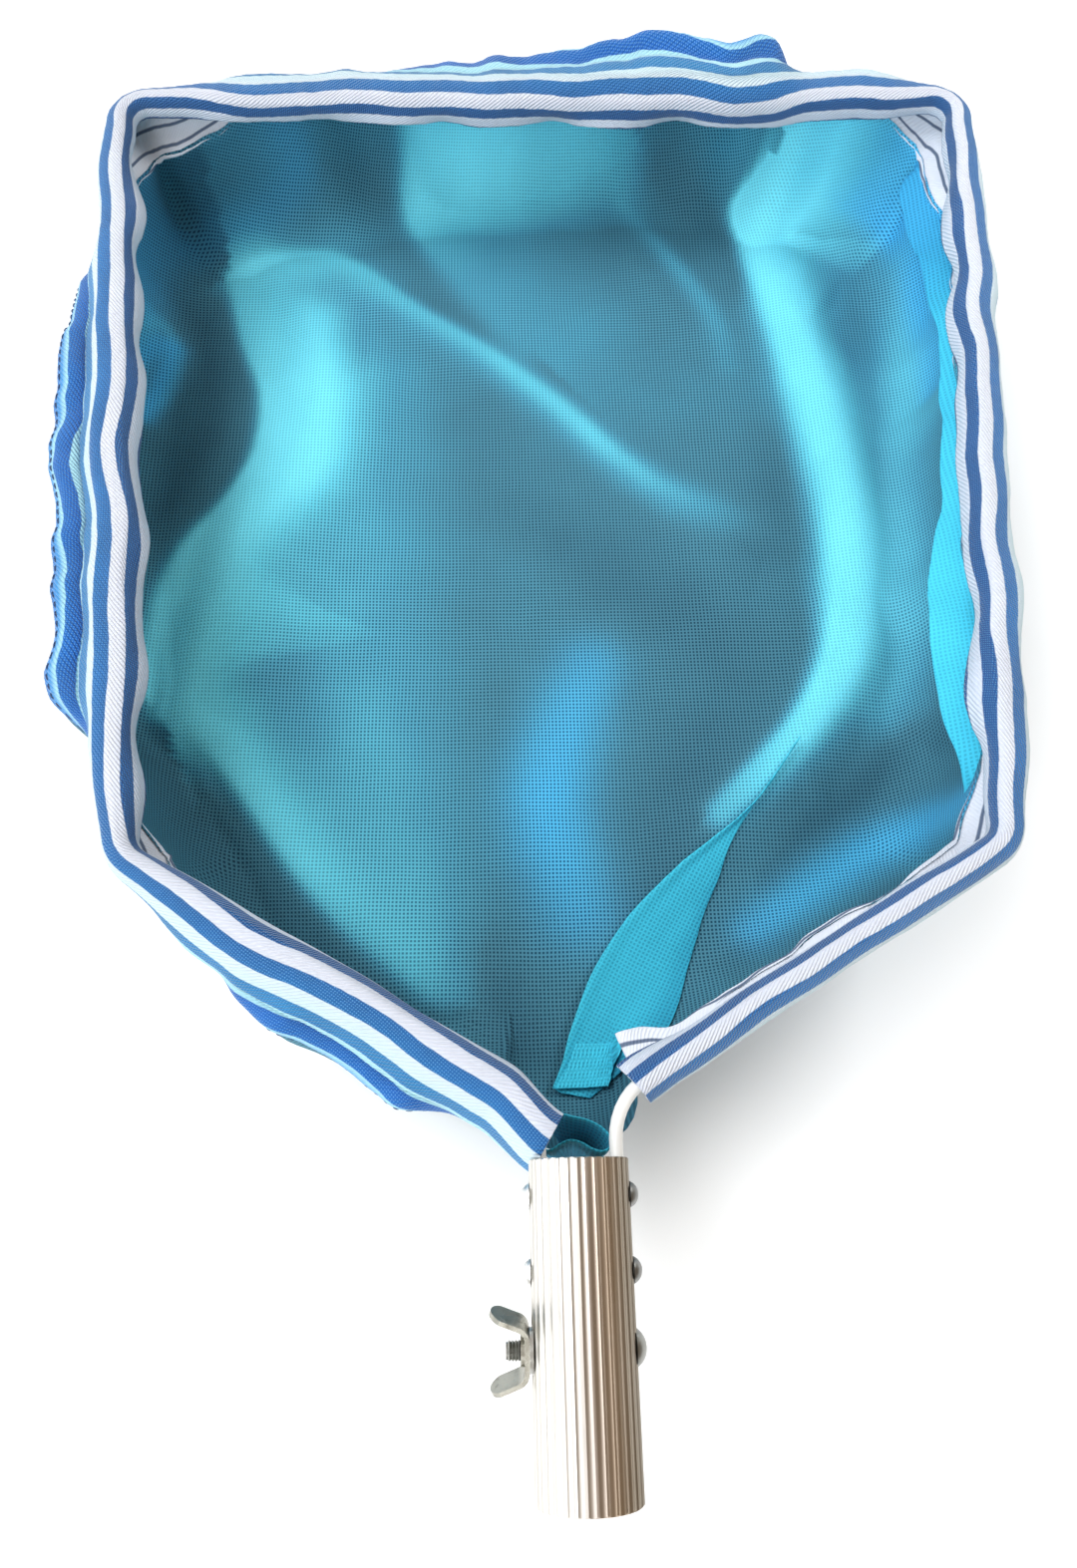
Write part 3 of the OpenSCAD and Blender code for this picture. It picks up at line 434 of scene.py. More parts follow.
def bag_rim():
    """The bag's rim along the seam and across the neck, its sewn hem, the ways out, and the wall's bulge."""
    s = np.arange(SEAM_START, SEAM_END, RIM_STEP)
    seam = seam_point(s)
    # at the legs' ends the tape folds in over the bag, whose own edge stays under the wire
    near_end = np.maximum(smooth((95 - s) / 50), smooth((s - SEAM_END + 50) / 50))
    seam[:, 0] = np.maximum(seam[:, 0] * (1 - near_end) + END_OUT * near_end, -8.5)
    seam[:, 1] = seam[:, 1] * (1 - near_end) - SEAM_DROP * near_end
    along = place(s, seam[:, 0] - 0.4, seam[:, 1] - 0.5)
    kernel = np.hanning(7)[1:-1] / np.hanning(7).sum()
    padded = np.vstack([along[:1]] * 2 + [along] + [along[-1:]] * 2)
    along = np.stack([np.convolve(padded[:, k], kernel, "valid") for k in range(3)], -1)
    # across the neck it runs in an arc that comes close to the tube's mouth
    first, last = along[0], along[-1]
    a = np.linspace(0, math.pi, NECK_POINTS + 2)[1:-1]
    back = max(first[1], last[1])
    x = last[0] + (first[0] - last[0]) * (1 - np.cos(a)) / 2
    y = back - (back - (TUBE_L + NECK_GAP)) * np.sin(a) ** 0.6
    z = np.interp(a, [0, math.pi], [last[2], first[2]])
    neck = np.stack([x, y, z], -1)
    rim = np.vstack([along, neck])
    out = np.vstack([route(s)[1], np.stack([-np.cos(a), -np.sin(a)], -1)])
    seam_out = np.append(seam[:, 0], np.full(NECK_POINTS, SEAM_OUT))
    bulge = BAG_BULGE + BULGE_SHARE * np.clip(seam_out - SEAM_OUT, 0, None)
    bulge *= 1 - 0.8 * np.append(near_end, np.ones(NECK_POINTS))
    band_edge = tape_surface(s, np.array([TAPE_W - TUCK, TAPE_W]))
    slope = unit(band_edge[:, 1] - band_edge[:, 0])
    sewn = band_edge[:, 0] + np.stack([slope[:, 1], -slope[:, 0]], -1) * SEWN_GAP
    ends = near_end[:, None]
    above = np.array([0, 0, 2.0])
    hem = place(s, sewn[:, 0], sewn[:, 1]) * (1 - ends) + (along + above) * ends
    hem = np.vstack([hem, neck + above])
    return rim, hem, out, bulge


def tones(xy, steep, facing):
    """How light and how blue the net is at plan points, in painted light and shade, and the height of the lit
    strokes' folds.
    """
    height, rest = np.zeros(len(xy)), np.full(len(xy), 1 - BASE_TONE)
    for tall, points in LIT:
        f = line_field(xy, points)
        rest *= 1 - f
        height = np.maximum(height, f * tall)
    doubling_and_painted_light = 1 - rest
    for points in DIM:
        doubling_and_painted_light *= 1 - line_field(xy, points)
    doubling_and_painted_light *= 1 + 0.9 * (steep * facing).ravel()
    blue = np.max([line_field(xy, points) for points in BLUE], axis=0)
    return doubling_and_painted_light, blue, height


def build_bag():
    """The net, its folds and tones, and a search tree of its surface."""
    rim, hem, out, bulge = bag_rim()
    n = len(rim)
    # the wall bulges out under the seam, then rounds into the floor
    a = np.linspace(0, math.pi / 2, WALL_RINGS)
    side = rim[:, None, :2] + (bulge[:, None] * np.sin(2 * a))[..., None] * out[:, None, :]
    plan = MIDDLE + (side - MIDDLE) * (1 - FLOOR_INSET * (1 - np.cos(a)))[None, :, None]
    z = rim[:, 2:3] - (BAG_DEPTH - 0.6 + rim[:, 2:3]) * np.sin(a)
    wall = np.concatenate([hem[:, None, :], np.concatenate([plan, z[..., None]], -1)], 1)
    a = np.append(0, a)
    k = np.linspace(1, 0.012, FLOOR_RINGS)[1:]
    floor_plan = MIDDLE + (plan[:, -1:] - MIDDLE) * k[None, :, None]
    level = np.repeat(z[:, -1:], len(k), 1)[..., None]
    base = np.concatenate([wall, np.concatenate([floor_plan, level], -1)], 1)
    rings = base.shape[1]
    # the weave is a plain grid on the floor, and runs on up the wall
    seg = np.linalg.norm(np.diff(wall, axis=1), axis=-1)
    arc = np.concatenate([np.zeros((n, 1)), np.cumsum(seg[:, ::-1], axis=1)], axis=1)[:, ::-1]
    away = unit(plan[:, -1] - MIDDLE)
    weave = np.concatenate([plan[:, -1:] + away[:, None, :] * arc[..., None], floor_plan], 1)
    # normals of the plain shape
    du = np.roll(base, -1, 0) - np.roll(base, 1, 0)
    dv = np.gradient(base, axis=1)
    normal = np.cross(dv, du)
    normal /= np.linalg.norm(normal, axis=-1, keepdims=True) + 1e-9
    inwards = np.concatenate([np.broadcast_to(-out[:, None, :], (n, rings, 2)), np.ones((n, rings, 1))], -1)
    normal *= np.sign((normal * inwards).sum(-1, keepdims=True) + 1e-6)
    xy = base[..., :2].reshape(-1, 2)
    # the steep cloth of the front and left walls is painted lighter: painted light on walls that face away
    # from the lamps
    steep = np.concatenate([np.cos(a), np.zeros(len(k))])[None, :] ** 0.7
    facing = smooth(out[:, 1:2] * 1.2) + 0.15 * smooth(-out[:, :1] * 1.2)
    doubling_and_painted_light, blue, height = tones(xy, steep, facing)
    # the main folds: on the wall their share runs on past 1, and at the neck the way round ends and starts
    share = np.concatenate([1 + 2.0 * (1 - np.sin(a)), k])
    round_seam = np.arange(SEAM_START, SEAM_END, RIM_STEP) / (2 * HALF_L)
    round_neck = np.repeat([1.0, 0.0], NECK_POINTS // 2)
    t = np.append(round_seam, round_neck)
    height += ridge(t[:, None], share[None, :]).ravel()
    for left, right, tall, points in FOLDS:
        f = line_field(xy, [(*point, left, right) for point in points])
        height = np.maximum(height, f * tall + 0.4)
    x, y = xy[:, 0], xy[:, 1]
    billow = (
        0.8 * np.sin(x / 31 + 1.3 * np.sin(y / 57)) * np.sin(y / 43 + 0.8 * np.sin(x / 49 + 1))
        + 0.5 * np.sin((x + 0.6 * y) / 17 + 1.1 * np.sin(y / 37)) * np.sin((y - 0.4 * x) / 29)
    )
    # near the seam nothing lifts
    calm = np.tile(smooth(np.linspace(0, 1, rings) * 14), n)
    lift = np.clip((height + billow + 0.6) * calm, -1.0, 12.0)
    verts = base.reshape(-1, 3) + normal.reshape(-1, 3) * lift[:, None]
    verts[:, 2] = np.maximum(verts[:, 2], -BAG_DEPTH + 0.3)
    # the last column of the grid joins the first, and a fan round one point closes the middle
    hub = len(verts)
    ends = np.arange(n) * rings + rings - 1
    faces = grid_faces(n + 1, rings) % hub
    fan = np.stack([ends, np.full(n, hub), np.roll(ends, -1)], -1)
    all_faces = [tuple(f) for f in faces] + [tuple(f) for f in fan]
    verts = np.vstack([verts, [*MIDDLE, verts[ends, 2].mean()]])
    weave = np.vstack([weave.reshape(-1, 2), MIDDLE])
    values = {"doubling_and_painted_light": np.append(doubling_and_painted_light, doubling_and_painted_light[ends].mean()), "blue": np.append(blue, 0)}
    obj = new_mesh("mesh_net", verts, all_faces, weave, values)
    return obj, BVHTree.FromPolygons([tuple(v) for v in verts], all_faces)


def distances(line):
    """How far along a line each of its points lies."""
    return np.append(0, np.cumsum(np.linalg.norm(np.diff(line, axis=0), axis=1)))


def resample(points, count):
    """The same line with evenly spaced points."""
    fine = catmull(np.array(points, float), np.linspace(0, len(points) - 1, 400))
    way = distances(fine)
    at = np.linspace(0, way[-1], count)
    return np.stack([np.interp(at, way, column) for column in fine.T], -1)


def on_bag(tree, xy, gap):
    """Points gap mm inside the bag's surface, seen from above at each plan point.

    A point outside the bag's plan goes to the nearest place on the bag."""
    points = []
    for (x, y), lift in zip(xy, gap):
        at, normal = tree.ray_cast(Vector((x, y, 60.0)), Vector((0, 0, -1)))[:2]
        if at is None:
            at, normal = tree.find_nearest(Vector((x, y, -SEAM_DROP)))[:2]
        points.append(tuple(at + normal * math.copysign(lift, normal.z)))
    return np.array(points)


def lie_on_bag(name, tree, left, right, steps, across, gap, doubling_and_painted_light, weave_turn):
    """A layer of net between two lines, lying on the bag.

    gap and the function after it give its height and its lightness, which is painted light and shade, from
    the shares of the way along and across."""
    a, b = resample(left, steps), resample(right, steps)
    v = np.linspace(0, 1, across)
    xy = (a[:, None, :] * (1 - v)[None, :, None] + b[:, None, :] * v[None, :, None]).reshape(-1, 2)
    shares = [(t, u) for t in np.linspace(0, 1, steps) for u in v]
    pts = on_bag(tree, xy, [gap(t, u) for t, u in shares])
    c, s = math.cos(weave_turn), math.sin(weave_turn)
    uv = np.stack([xy[:, 0] * c - xy[:, 1] * s, xy[:, 0] * s + xy[:, 1] * c], -1)
    layer_painted_light = np.array([doubling_and_painted_light(t, u) for t, u in shares])
    return new_mesh(name, pts, grid_faces(steps, across), uv, {"doubling_and_painted_light": layer_painted_light, "blue": layer_painted_light * 0})


# -------- materials
class Nodes:
    """A tree's nodes, wired by short calls."""

    def __init__(self, tree):
        self.tree = tree

    def set(self, node, key, value):
        """Gives one of a node's inputs a link, a colour or a number."""
        if isinstance(value, bpy.types.NodeSocket):
            self.tree.links.new(value, node.inputs[key])
        elif isinstance(value, tuple):
            node.inputs[key].default_value = (*value, 1.0)
        elif value is not None:
            node.inputs[key].default_value = value

    def node(self, kind, *values):
        """A new node with its first inputs set."""
        node = self.tree.nodes.new("ShaderNode" + kind)
        for i, value in enumerate(values):
            self.set(node, i, value)
        return node

    def math(self, op, a, b=None):
        node = self.node("Math", a, b)
        node.operation = op
        return node.outputs[0]

    def plus(self, a, b):
        return self.math("ADD", a, b)

    def minus(self, a, b):
        return self.math("SUBTRACT", a, b)

    def times(self, a, b):
        return self.math("MULTIPLY", a, b)

    def wave(self, value, length):
        """A sine wave that repeats after length."""
        return self.math("SINE", self.times(value, TURN / length))

    def mix(self, factor, a, b, blend="MIX"):
        """Mixes two colours. Their sockets are numbers 6 and 7, the result's is number 2."""
        node = self.node("Mix", factor)
        node.data_type = "RGBA"
        node.blend_type = blend
        self.set(node, 6, a)
        self.set(node, 7, b)
        return node.outputs[2]

    def step(self, value, low, high, a=0.0, b=1.0):
        """A smooth step from a at low to b at high."""
        node = self.node("MapRange", value, low, high, a, b)
        node.interpolation_type = "SMOOTHSTEP"
        return node.outputs[0]

    def noise(self, scale, detail, vector=None):
        node = self.node("TexNoise", vector if vector is not None else self.coords("Object"))
        self.set(node, "Scale", scale)
        self.set(node, "Detail", detail)
        return node.outputs[0]

    def waver(self, scale, detail, size):
        """Noise around 0."""
        return self.times(self.minus(self.noise(scale, detail), 0.5), size)

    def coords(self, kind):
        return self.node("TexCoord").outputs[kind]

    def split(self, vector):
        return self.node("SeparateXYZ", vector).outputs

    def join(self, x, y, z):
        return self.node("CombineXYZ", x, y, z).outputs[0]

    def attribute(self, name):
        node = self.node("Attribute")
        node.attribute_name = name
        return node.outputs["Fac"]

    def ramp(self, value, stops):
        """Colours by value. The first stop is at 0 and the last at 1, where a new ramp has its own two."""
        node = self.node("ValToRGB", value)
        elements = node.color_ramp.elements
        elements[0].color = (*stops[0][1], 1)
        elements[1].color = (*stops[-1][1], 1)
        for at, colour in stops[1:-1]:
            elements.new(at).color = (*colour, 1)
        return node.outputs[0]


class Graph(Nodes):
    """A material with one principled shader."""

    def __init__(self, name):
        self.mat = bpy.data.materials.new(name)
        self.mat.use_nodes = True
        self.mat.node_tree.nodes.clear()
        super().__init__(self.mat.node_tree)
        self.bsdf = self.node("BsdfPrincipled")
        self.node("OutputMaterial", self.bsdf.outputs[0])

    def bump(self, height, strength, distance):
        node = self.node("Bump")
        self.set(node, "Strength", strength)
        self.set(node, "Distance", distance)
        self.set(node, "Height", height)
        self.set(self.bsdf, "Normal", node.outputs[0])

    def shade(self, **values):
        for key, value in values.items():
            self.set(self.bsdf, key.replace("_", " "), value)


def tape_face():
    """Blue and white stripes, with the twill's diagonal and light specks in the blue."""
    g = Graph("striped_twill")
    u, v, _ = g.split(g.coords("UV"))
    u = g.plus(u, g.attribute("stripe_shift"))
    share = g.math("DIVIDE", u, TAPE_W)
    pair = 2 * STRIPE
    along_pair = g.math("MODULO", g.plus(g.plus(u, g.waver(95.0, 2.0, 1.0)), pair), pair)
    blue = g.step(g.math("ABSOLUTE", g.minus(along_pair, 1.5 * STRIPE)), 3.15, 2.75)
    diagonal = g.wave(g.plus(g.times(u, 1.5), v), 2.3)
    cross = g.wave(g.minus(g.times(v, 1.3), u), 2.2)
    speck = g.step(g.times(diagonal, cross), 0.2, 0.8)
    # Across the tape the blue is darkest at the inner edge, and the white takes a cyan tint further out:
    # painted light from the net
    blues = g.ramp(share, [
        (0.0, (0.008, 0.06, 0.23)), (0.22, (0.01, 0.08, 0.27)), (0.4, (0.012, 0.135, 0.4)),
        (0.62, (0.018, 0.21, 0.46)), (0.78, (0.006, 0.11, 0.47)), (0.88, (0.008, 0.14, 0.5)),
        (1.0, (0.01, 0.17, 0.52)),
    ])
    blue_dark = g.mix(g.times(g.noise(38.0, 3.0), 0.6), blues, (0.003, 0.025, 0.1))
    blue_cloth = g.mix(g.times(speck, 0.5), blue_dark, (0.16, 0.42, 0.72))
    whites = g.ramp(share, [
        (0.0, (0.56, 0.63, 0.74)), (0.3, (0.61, 0.63, 0.71)), (0.55, (0.52, 0.68, 0.73)),
        (0.7, (0.36, 0.66, 0.74)), (0.9, (0.3, 0.58, 0.72)), (0.935, (0.03, 0.24, 0.55)),
        (1.0, (0.015, 0.16, 0.48)),
    ])
    # the twill's grooves in the white are painted darker: painted shade
    groove_painted_shade = g.step(diagonal, 0.1, -0.8)
    white_cloth = g.mix(g.times(groove_painted_shade, 0.22), whites, (0.3, 0.36, 0.5))
    g.shade(Base_Color=g.mix(blue, white_cloth, blue_cloth), Roughness=0.88, Sheen_Weight=0.25,
            Sheen_Roughness=0.5, Specular_IOR_Level=0.25)
    g.bump(g.plus(g.times(diagonal, 0.5), g.times(g.noise(900.0, 2.0), 0.6)), 0.8, 0.0005)
    return g.mat


def tape_back():
    """The cloth's reverse: pale, with a thin dark line where two stripes meet."""
    g = Graph("twill_reverse")
    u, v, _ = g.split(g.coords("UV"))
    u = g.plus(u, g.attribute("stripe_shift"))
    off_line = g.minus(g.math("MODULO", g.plus(u, 1.5 * STRIPE), STRIPE), STRIPE / 2)
    line = g.step(g.math("ABSOLUTE", off_line), 0.75, 0.3)
    cloth = g.mix(g.noise(60.0, 3.0), (0.62, 0.67, 0.78), (0.78, 0.8, 0.86))
    g.shade(Base_Color=g.mix(g.times(line, 0.9), cloth, (0.05, 0.09, 0.17)), Roughness=0.92,
            Specular_IOR_Level=0.2)
    g.bump(g.plus(g.wave(g.minus(u, v), 1.5), g.noise(900.0, 2.0)), 0.4, 0.0003)
    return g.mat


def net_pattern(g, pitch):
    """How much of each point is a hole, and the height of the threads."""
    u, v, _ = g.split(g.coords("UV"))
    warp = g.waver(26.0, 2.0, 1.6)
    a = g.wave(g.plus(u, warp), pitch)
    b = g.wave(g.plus(v, warp), pitch * 1.05)
    hole = g.times(g.step(a, -0.6, 0.4), g.step(b, -0.65, 0.35))
    return hole, g.math("MAXIMUM", g.times(a, -1.0), g.times(b, -1.0))


# The net's colours from its darkest to its lightest places, where it lies single and where it lies double;
# each point's painted light and shade picks among them
SINGLE = [(0.0, (0.024, 0.085, 0.13)), (0.25, (0.044, 0.155, 0.22)), (0.45, (0.058, 0.25, 0.36)),
          (0.7, (0.092, 0.43, 0.56)), (1.0, (0.155, 0.65, 0.8))]
DOUBLE = [(0.0, (0.007, 0.06, 0.12)), (0.4, (0.016, 0.2, 0.32)), (0.7, (0.04, 0.41, 0.57)),
          (1.0, (0.1, 0.68, 0.87))]
WEAVE_PITCH = 1.6


def mesh_cloth(name, stops, open_share):
    """The net: its lightness follows the painted light and shade held in a value per point, and the value
    blue turns it bluer.
    """
    g = Graph(name)
    hole, threads = net_pattern(g, WEAVE_PITCH)
    amount = g.plus(g.attribute("doubling_and_painted_light"), g.waver(14.0, 4.0, 0.22))
    body = g.mix(g.times(g.attribute("blue"), 0.75), g.ramp(amount, stops), (0.045, 0.36, 0.7))
    thread = g.mix(1.0, body, (1.38, 1.33, 1.28), "MULTIPLY")
    hole_painted_shade = g.mix(1.0, body, (0.15, 0.28, 0.36), "MULTIPLY")
    # the holes are painted dark, painted shade seen through the net, and show most where the net is dark
    hole_shade_share = g.step(amount, 0.95, 0.4, 0.4 * open_share, open_share)
    g.shade(Base_Color=g.mix(g.times(hole, hole_shade_share), thread, hole_painted_shade), Roughness=0.8, Sheen_Weight=0.04,
            Sheen_Roughness=0.4, Specular_IOR_Level=0.15)
    g.bump(threads, 0.35, 0.0004)
    return g.mat


def drawn_noise(g, detail, across, along):
    """Noise with one scale across the tube and another along it."""
    x, y, z = g.split(g.coords("Object"))
    return g.noise(1.0, detail, g.join(g.times(x, across), g.times(y, along), g.times(z, across)))


def brushed_tube():
    """Drawn aluminium, with streaks along the tube, a few scuffs, and painted light and shade across it."""
    g = Graph("drawn_aluminium")
    streaks = drawn_noise(g, 4.0, 900.0, 14.0)
    # painted light and shade across the tube: the left side is painted light, and the side away from the
    # light is painted darker and warmer
    across = g.plus(g.math("DIVIDE", g.split(g.coords("Object"))[0], TUBE_D * MM), 0.5)
    tube_painted_light_and_shade = g.ramp(across, [(0.0, (0.84, 0.82, 0.78)), (0.38, (0.8, 0.76, 0.71)), (0.54, (0.58, 0.5, 0.44)),
                           (0.72, (0.58, 0.45, 0.33)), (0.9, (0.32, 0.27, 0.21)), (1.0, (0.28, 0.25, 0.21))])
    tint = g.mix(g.times(g.noise(30.0, 3.0), 0.2), tube_painted_light_and_shade, (0.9, 0.86, 0.8))
    scuffs = g.step(drawn_noise(g, 5.0, 220.0, 60.0), 0.62, 0.75)
    g.shade(Base_Color=g.mix(g.times(scuffs, 0.25), tint, (0.5, 0.47, 0.43)), Metallic=1.0,
            Roughness=g.step(streaks, 0.2, 0.8, 0.24, 0.42), Specular_Tint=(0.45, 0.42, 0.38))
    g.bump(streaks, 0.012, 0.0002)
    return g.mat


def plated(name, tint, rough=0.2, worn=(0.35, 0.33, 0.3), left=None):
    """Plated metal; left, where given, is a lighter tint painted on the parts on the tube's left side:
    painted light.
    """
    g = Graph(name)
    spots = g.step(g.noise(420.0, 4.0), 0.55, 0.72)
    film = g.noise(160.0, 3.0)
    if left:
        # painted light: the parts on the left side are tinted lighter
        tint = g.mix(g.step(g.split(g.coords("Object"))[0], -0.01, 0.01), left, tint)
    g.shade(Base_Color=g.mix(g.times(spots, 0.4), tint, worn), Metallic=1.0,
            Roughness=g.step(film, 0.3, 0.7, rough, rough + 0.16))
    g.bump(film, 0.06, 0.0002)
    return g.mat


def coated_wire():
    """White coating with a little grime."""
    g = Graph("white_coating")
    grime = g.step(g.noise(120.0, 4.0), 0.5, 0.8)
    g.shade(Base_Color=g.mix(g.times(grime, 0.3), (0.84, 0.84, 0.82), (0.6, 0.57, 0.5)), Roughness=0.35,
            Coat_Weight=0.3, Coat_Roughness=0.15)
    g.bump(g.noise(700.0, 3.0), 0.08, 0.0002)
    return g.mat


def thread_material():
    """Dark thread with the slant of its plies."""
    g = Graph("sewing_thread")
    x, y, z = g.split(g.coords("Object"))
    ply = g.wave(g.plus(g.plus(x, y), z), 0.0011)
    g.shade(Base_Color=g.mix(g.step(ply, -1, 1), (0.015, 0.03, 0.09), (0.05, 0.09, 0.2)), Roughness=0.8)
    g.bump(ply, 0.4, 0.0002)
    return g.mat


# -------- pieces
def thicken(obj, thickness):
    """Gives cloth its thickness, half of it to each side."""
    shell = obj.modifiers.new("thickness", "SOLIDIFY")
    shell.thickness = thickness * MM
    shell.offset = 0.0
    return shell


def soften(obj, thickness):
    """Makes a loose layer of doubled net, rounded off."""
    obj.data.materials.append(DOUBLED)
    thicken(obj, thickness)
    smoother = obj.modifiers.new("smooth", "SUBSURF")
    smoother.levels = 1
    smoother.render_levels = 1


band = build_tape()
band.data.materials.append(tape_face())
band.data.materials.append(tape_back())
band_shell = thicken(band, TAPE_T)
band_shell.material_offset = 1
band_shell.material_offset_rim = 1
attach(band, "handle")
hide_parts("striped_tape")

NET = mesh_cloth("fine_net", SINGLE, 0.95)
DOUBLED = mesh_cloth("doubled_net", DOUBLE, 0.5)
net, bag_tree = build_bag()
net.data.materials.append(NET)
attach(net, "handle")
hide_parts("mesh_bag")

# the fold of doubled net that runs from the neck towards the right-hand side; its lightness is painted light
# and shade, lighter along its free edge
fold = lie_on_bag("folded_net", bag_tree, FLAP_EDGE, FLAP_FAR[::-1], 90, 22,
                  lambda t, u: 1.0 + 2.6 * math.exp(-((u / 0.12) ** 2)) + 0.6 * smooth(1 - u),
                  lambda t, u: 0.6 + 0.1 * math.exp(-((u / 0.2) ** 2)) - 0.12 * smooth((u - 0.6) / 0.4), 0.5)
soften(fold, 0.5)
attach(fold, "handle")

# The seam allowance that hangs inwards under the tape on the right: y, and how far inside the wire it reaches
ALLOWANCE = np.array([
    (566, 3), (562, 11), (556, 17), (548, 19), (530, 17), (514, 13.5), (498, 10), (480, 6.5), (459, 3.6),
    (440, 3), (418, 4), (380, 5), (360, 6.5), (341, 11), (318, 14), (295, 13.5), (267, 11), (245, 5.5),
    (234, 2.5), (228, 1),
])
ALLOWANCE_ROWS, ALLOWANCE_COLS, ALLOWANCE_FALL = 150, 9, 7.0


def build_allowance():
    """The loose layer from the tape's edge inwards, along the wire's straight right side."""
    y = np.linspace(ALLOWANCE[0, 0], ALLOWANCE[-1, 0], ALLOWANCE_ROWS)
    inner = np.interp(-y, -ALLOWANCE[:, 0], ALLOWANCE[:, 1]) + wobble(y, 21, (23, 41), (0.2, 0.3))
    side = CORNERS[3] - CORNERS[2]
    wire_x = CORNERS[2][0] + (y - CORNERS[2][1]) * side[0] / side[1]
    # it starts at the tape's edge, which lies further in at the corners
    seam = section_at(np.interp(y, HALF[:, 2], HALF[:, 0]))[:, -1]
    v = np.linspace(0, 1, ALLOWANCE_COLS)
    outer = wire_x + seam[:, 0] + 0.8
    loose = np.minimum(wire_x - inner, outer - 1.0)
    x = outer[:, None] + (loose - outer)[:, None] * v
    flutter = wobble(y, 23, (31, 53), (0.8, 1.0))[:, None] * v
    z = seam[:, 1:] - 0.2 - ALLOWANCE_FALL * v[None, :] ** 1.3 + flutter
    pts = np.stack([x, np.repeat(y[:, None], ALLOWANCE_COLS, 1), z], -1).reshape(-1, 3)
    # its lightness along the wire is painted light and shade, and it turns bluer from y 330 to y 530
    layer_painted_light = np.repeat(np.interp(y, [212, 330, 460, 530], [0.68, 0.74, 0.68, 0.28]), ALLOWANCE_COLS)
    tint = np.repeat(np.interp(y, [330, 470, 530], [0.15, 0.3, 0.9]), ALLOWANCE_COLS)
    faces = grid_faces(ALLOWANCE_ROWS, ALLOWANCE_COLS)
    return new_mesh("seam_allowance", pts, faces, pts[:, :2], {"doubling_and_painted_light": layer_painted_light, "blue": tint})


allowance = build_allowance()
soften(allowance, 0.5)
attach(allowance, "handle")

# the hem that closes the neck: a ribbed strip on the bag, then a loose edge that doubles back. The strip's
# ribs are painted lighter and darker in step with their height: painted light and shade
STRIP_LEFT, STRIP_RIGHT = [(1, 141), (-2.5, 131), (-6, 122)], [(24, 141), (21, 131), (18, 122)]
RIBS = 95
strip = lie_on_bag("neck_strip", bag_tree, STRIP_LEFT, STRIP_RIGHT, 26, 60,
                   lambda t, u: 2.2 + 0.2 * math.sin(u * RIBS) + 1.2 * t,
                   lambda t, u: 0.68 + 0.1 * math.sin(u * RIBS), 0.0)
soften(strip, 0.6)
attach(strip, "handle")

# The loose edge as seen from above: across the neck, round a lip on the right, and back under itself
EDGE_PLAN = [(-11, 112), (-7, 110.5), (-2, 109), (4, 107.6), (8.6, 105.2), (11.2, 102), (11, 99), (8.4, 97.6),
             (5, 98.6), (1.5, 100.6), (-2, 101.4), (-5.5, 100.2), (-8.5, 98.4), (-11.5, 98.8)]
HEM_ROWS, HEM_COLS, HEM_W, HEM_TOP, HEM_FALL = 120, 12, 17, -7.5, 18.0


def build_gathered():
    """The cloth below the loose edge, which closes in as it falls towards the tube's mouth."""
    line = resample(EDGE_PLAN, HEM_ROWS)
    v = np.linspace(0, 1, HEM_COLS)
    middle = np.array([0.0, 101.0])
    pts = []
    for i, p in enumerate(line):
        for u in v:
            x, y = p + (middle - p) * 0.62 * u * u
            pts.append((x, y - 5.0 * u, HEM_TOP - HEM_FALL * u + 0.8 * math.sin(i / 9.0)))
    uv = np.stack([np.repeat(distances(line), HEM_COLS), np.tile(v * HEM_W, HEM_ROWS)], -1)
    # the cloth is painted darker as it falls towards the tube's mouth: painted shade
    layer_painted_light = 0.6 - 0.58 * np.tile(v, HEM_ROWS) ** 0.7
    faces = grid_faces(HEM_ROWS, HEM_COLS)
    return new_mesh("gathered_hem", pts, faces, uv, {"doubling_and_painted_light": layer_painted_light, "blue": layer_painted_light * 0})


gathered = build_gathered()
soften(gathered, 0.6)
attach(gathered, "handle")
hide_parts("neck_hem")

# A stitch's length, the gap after it, the thread's radius, and how far from the tape's edge the seam lies
STITCH, STITCH_GAP, STITCH_R, STITCH_IN = 3.2, 1.1, 0.32, 2.6
STITCH_ROWS, STITCH_SIDES = 6, 6


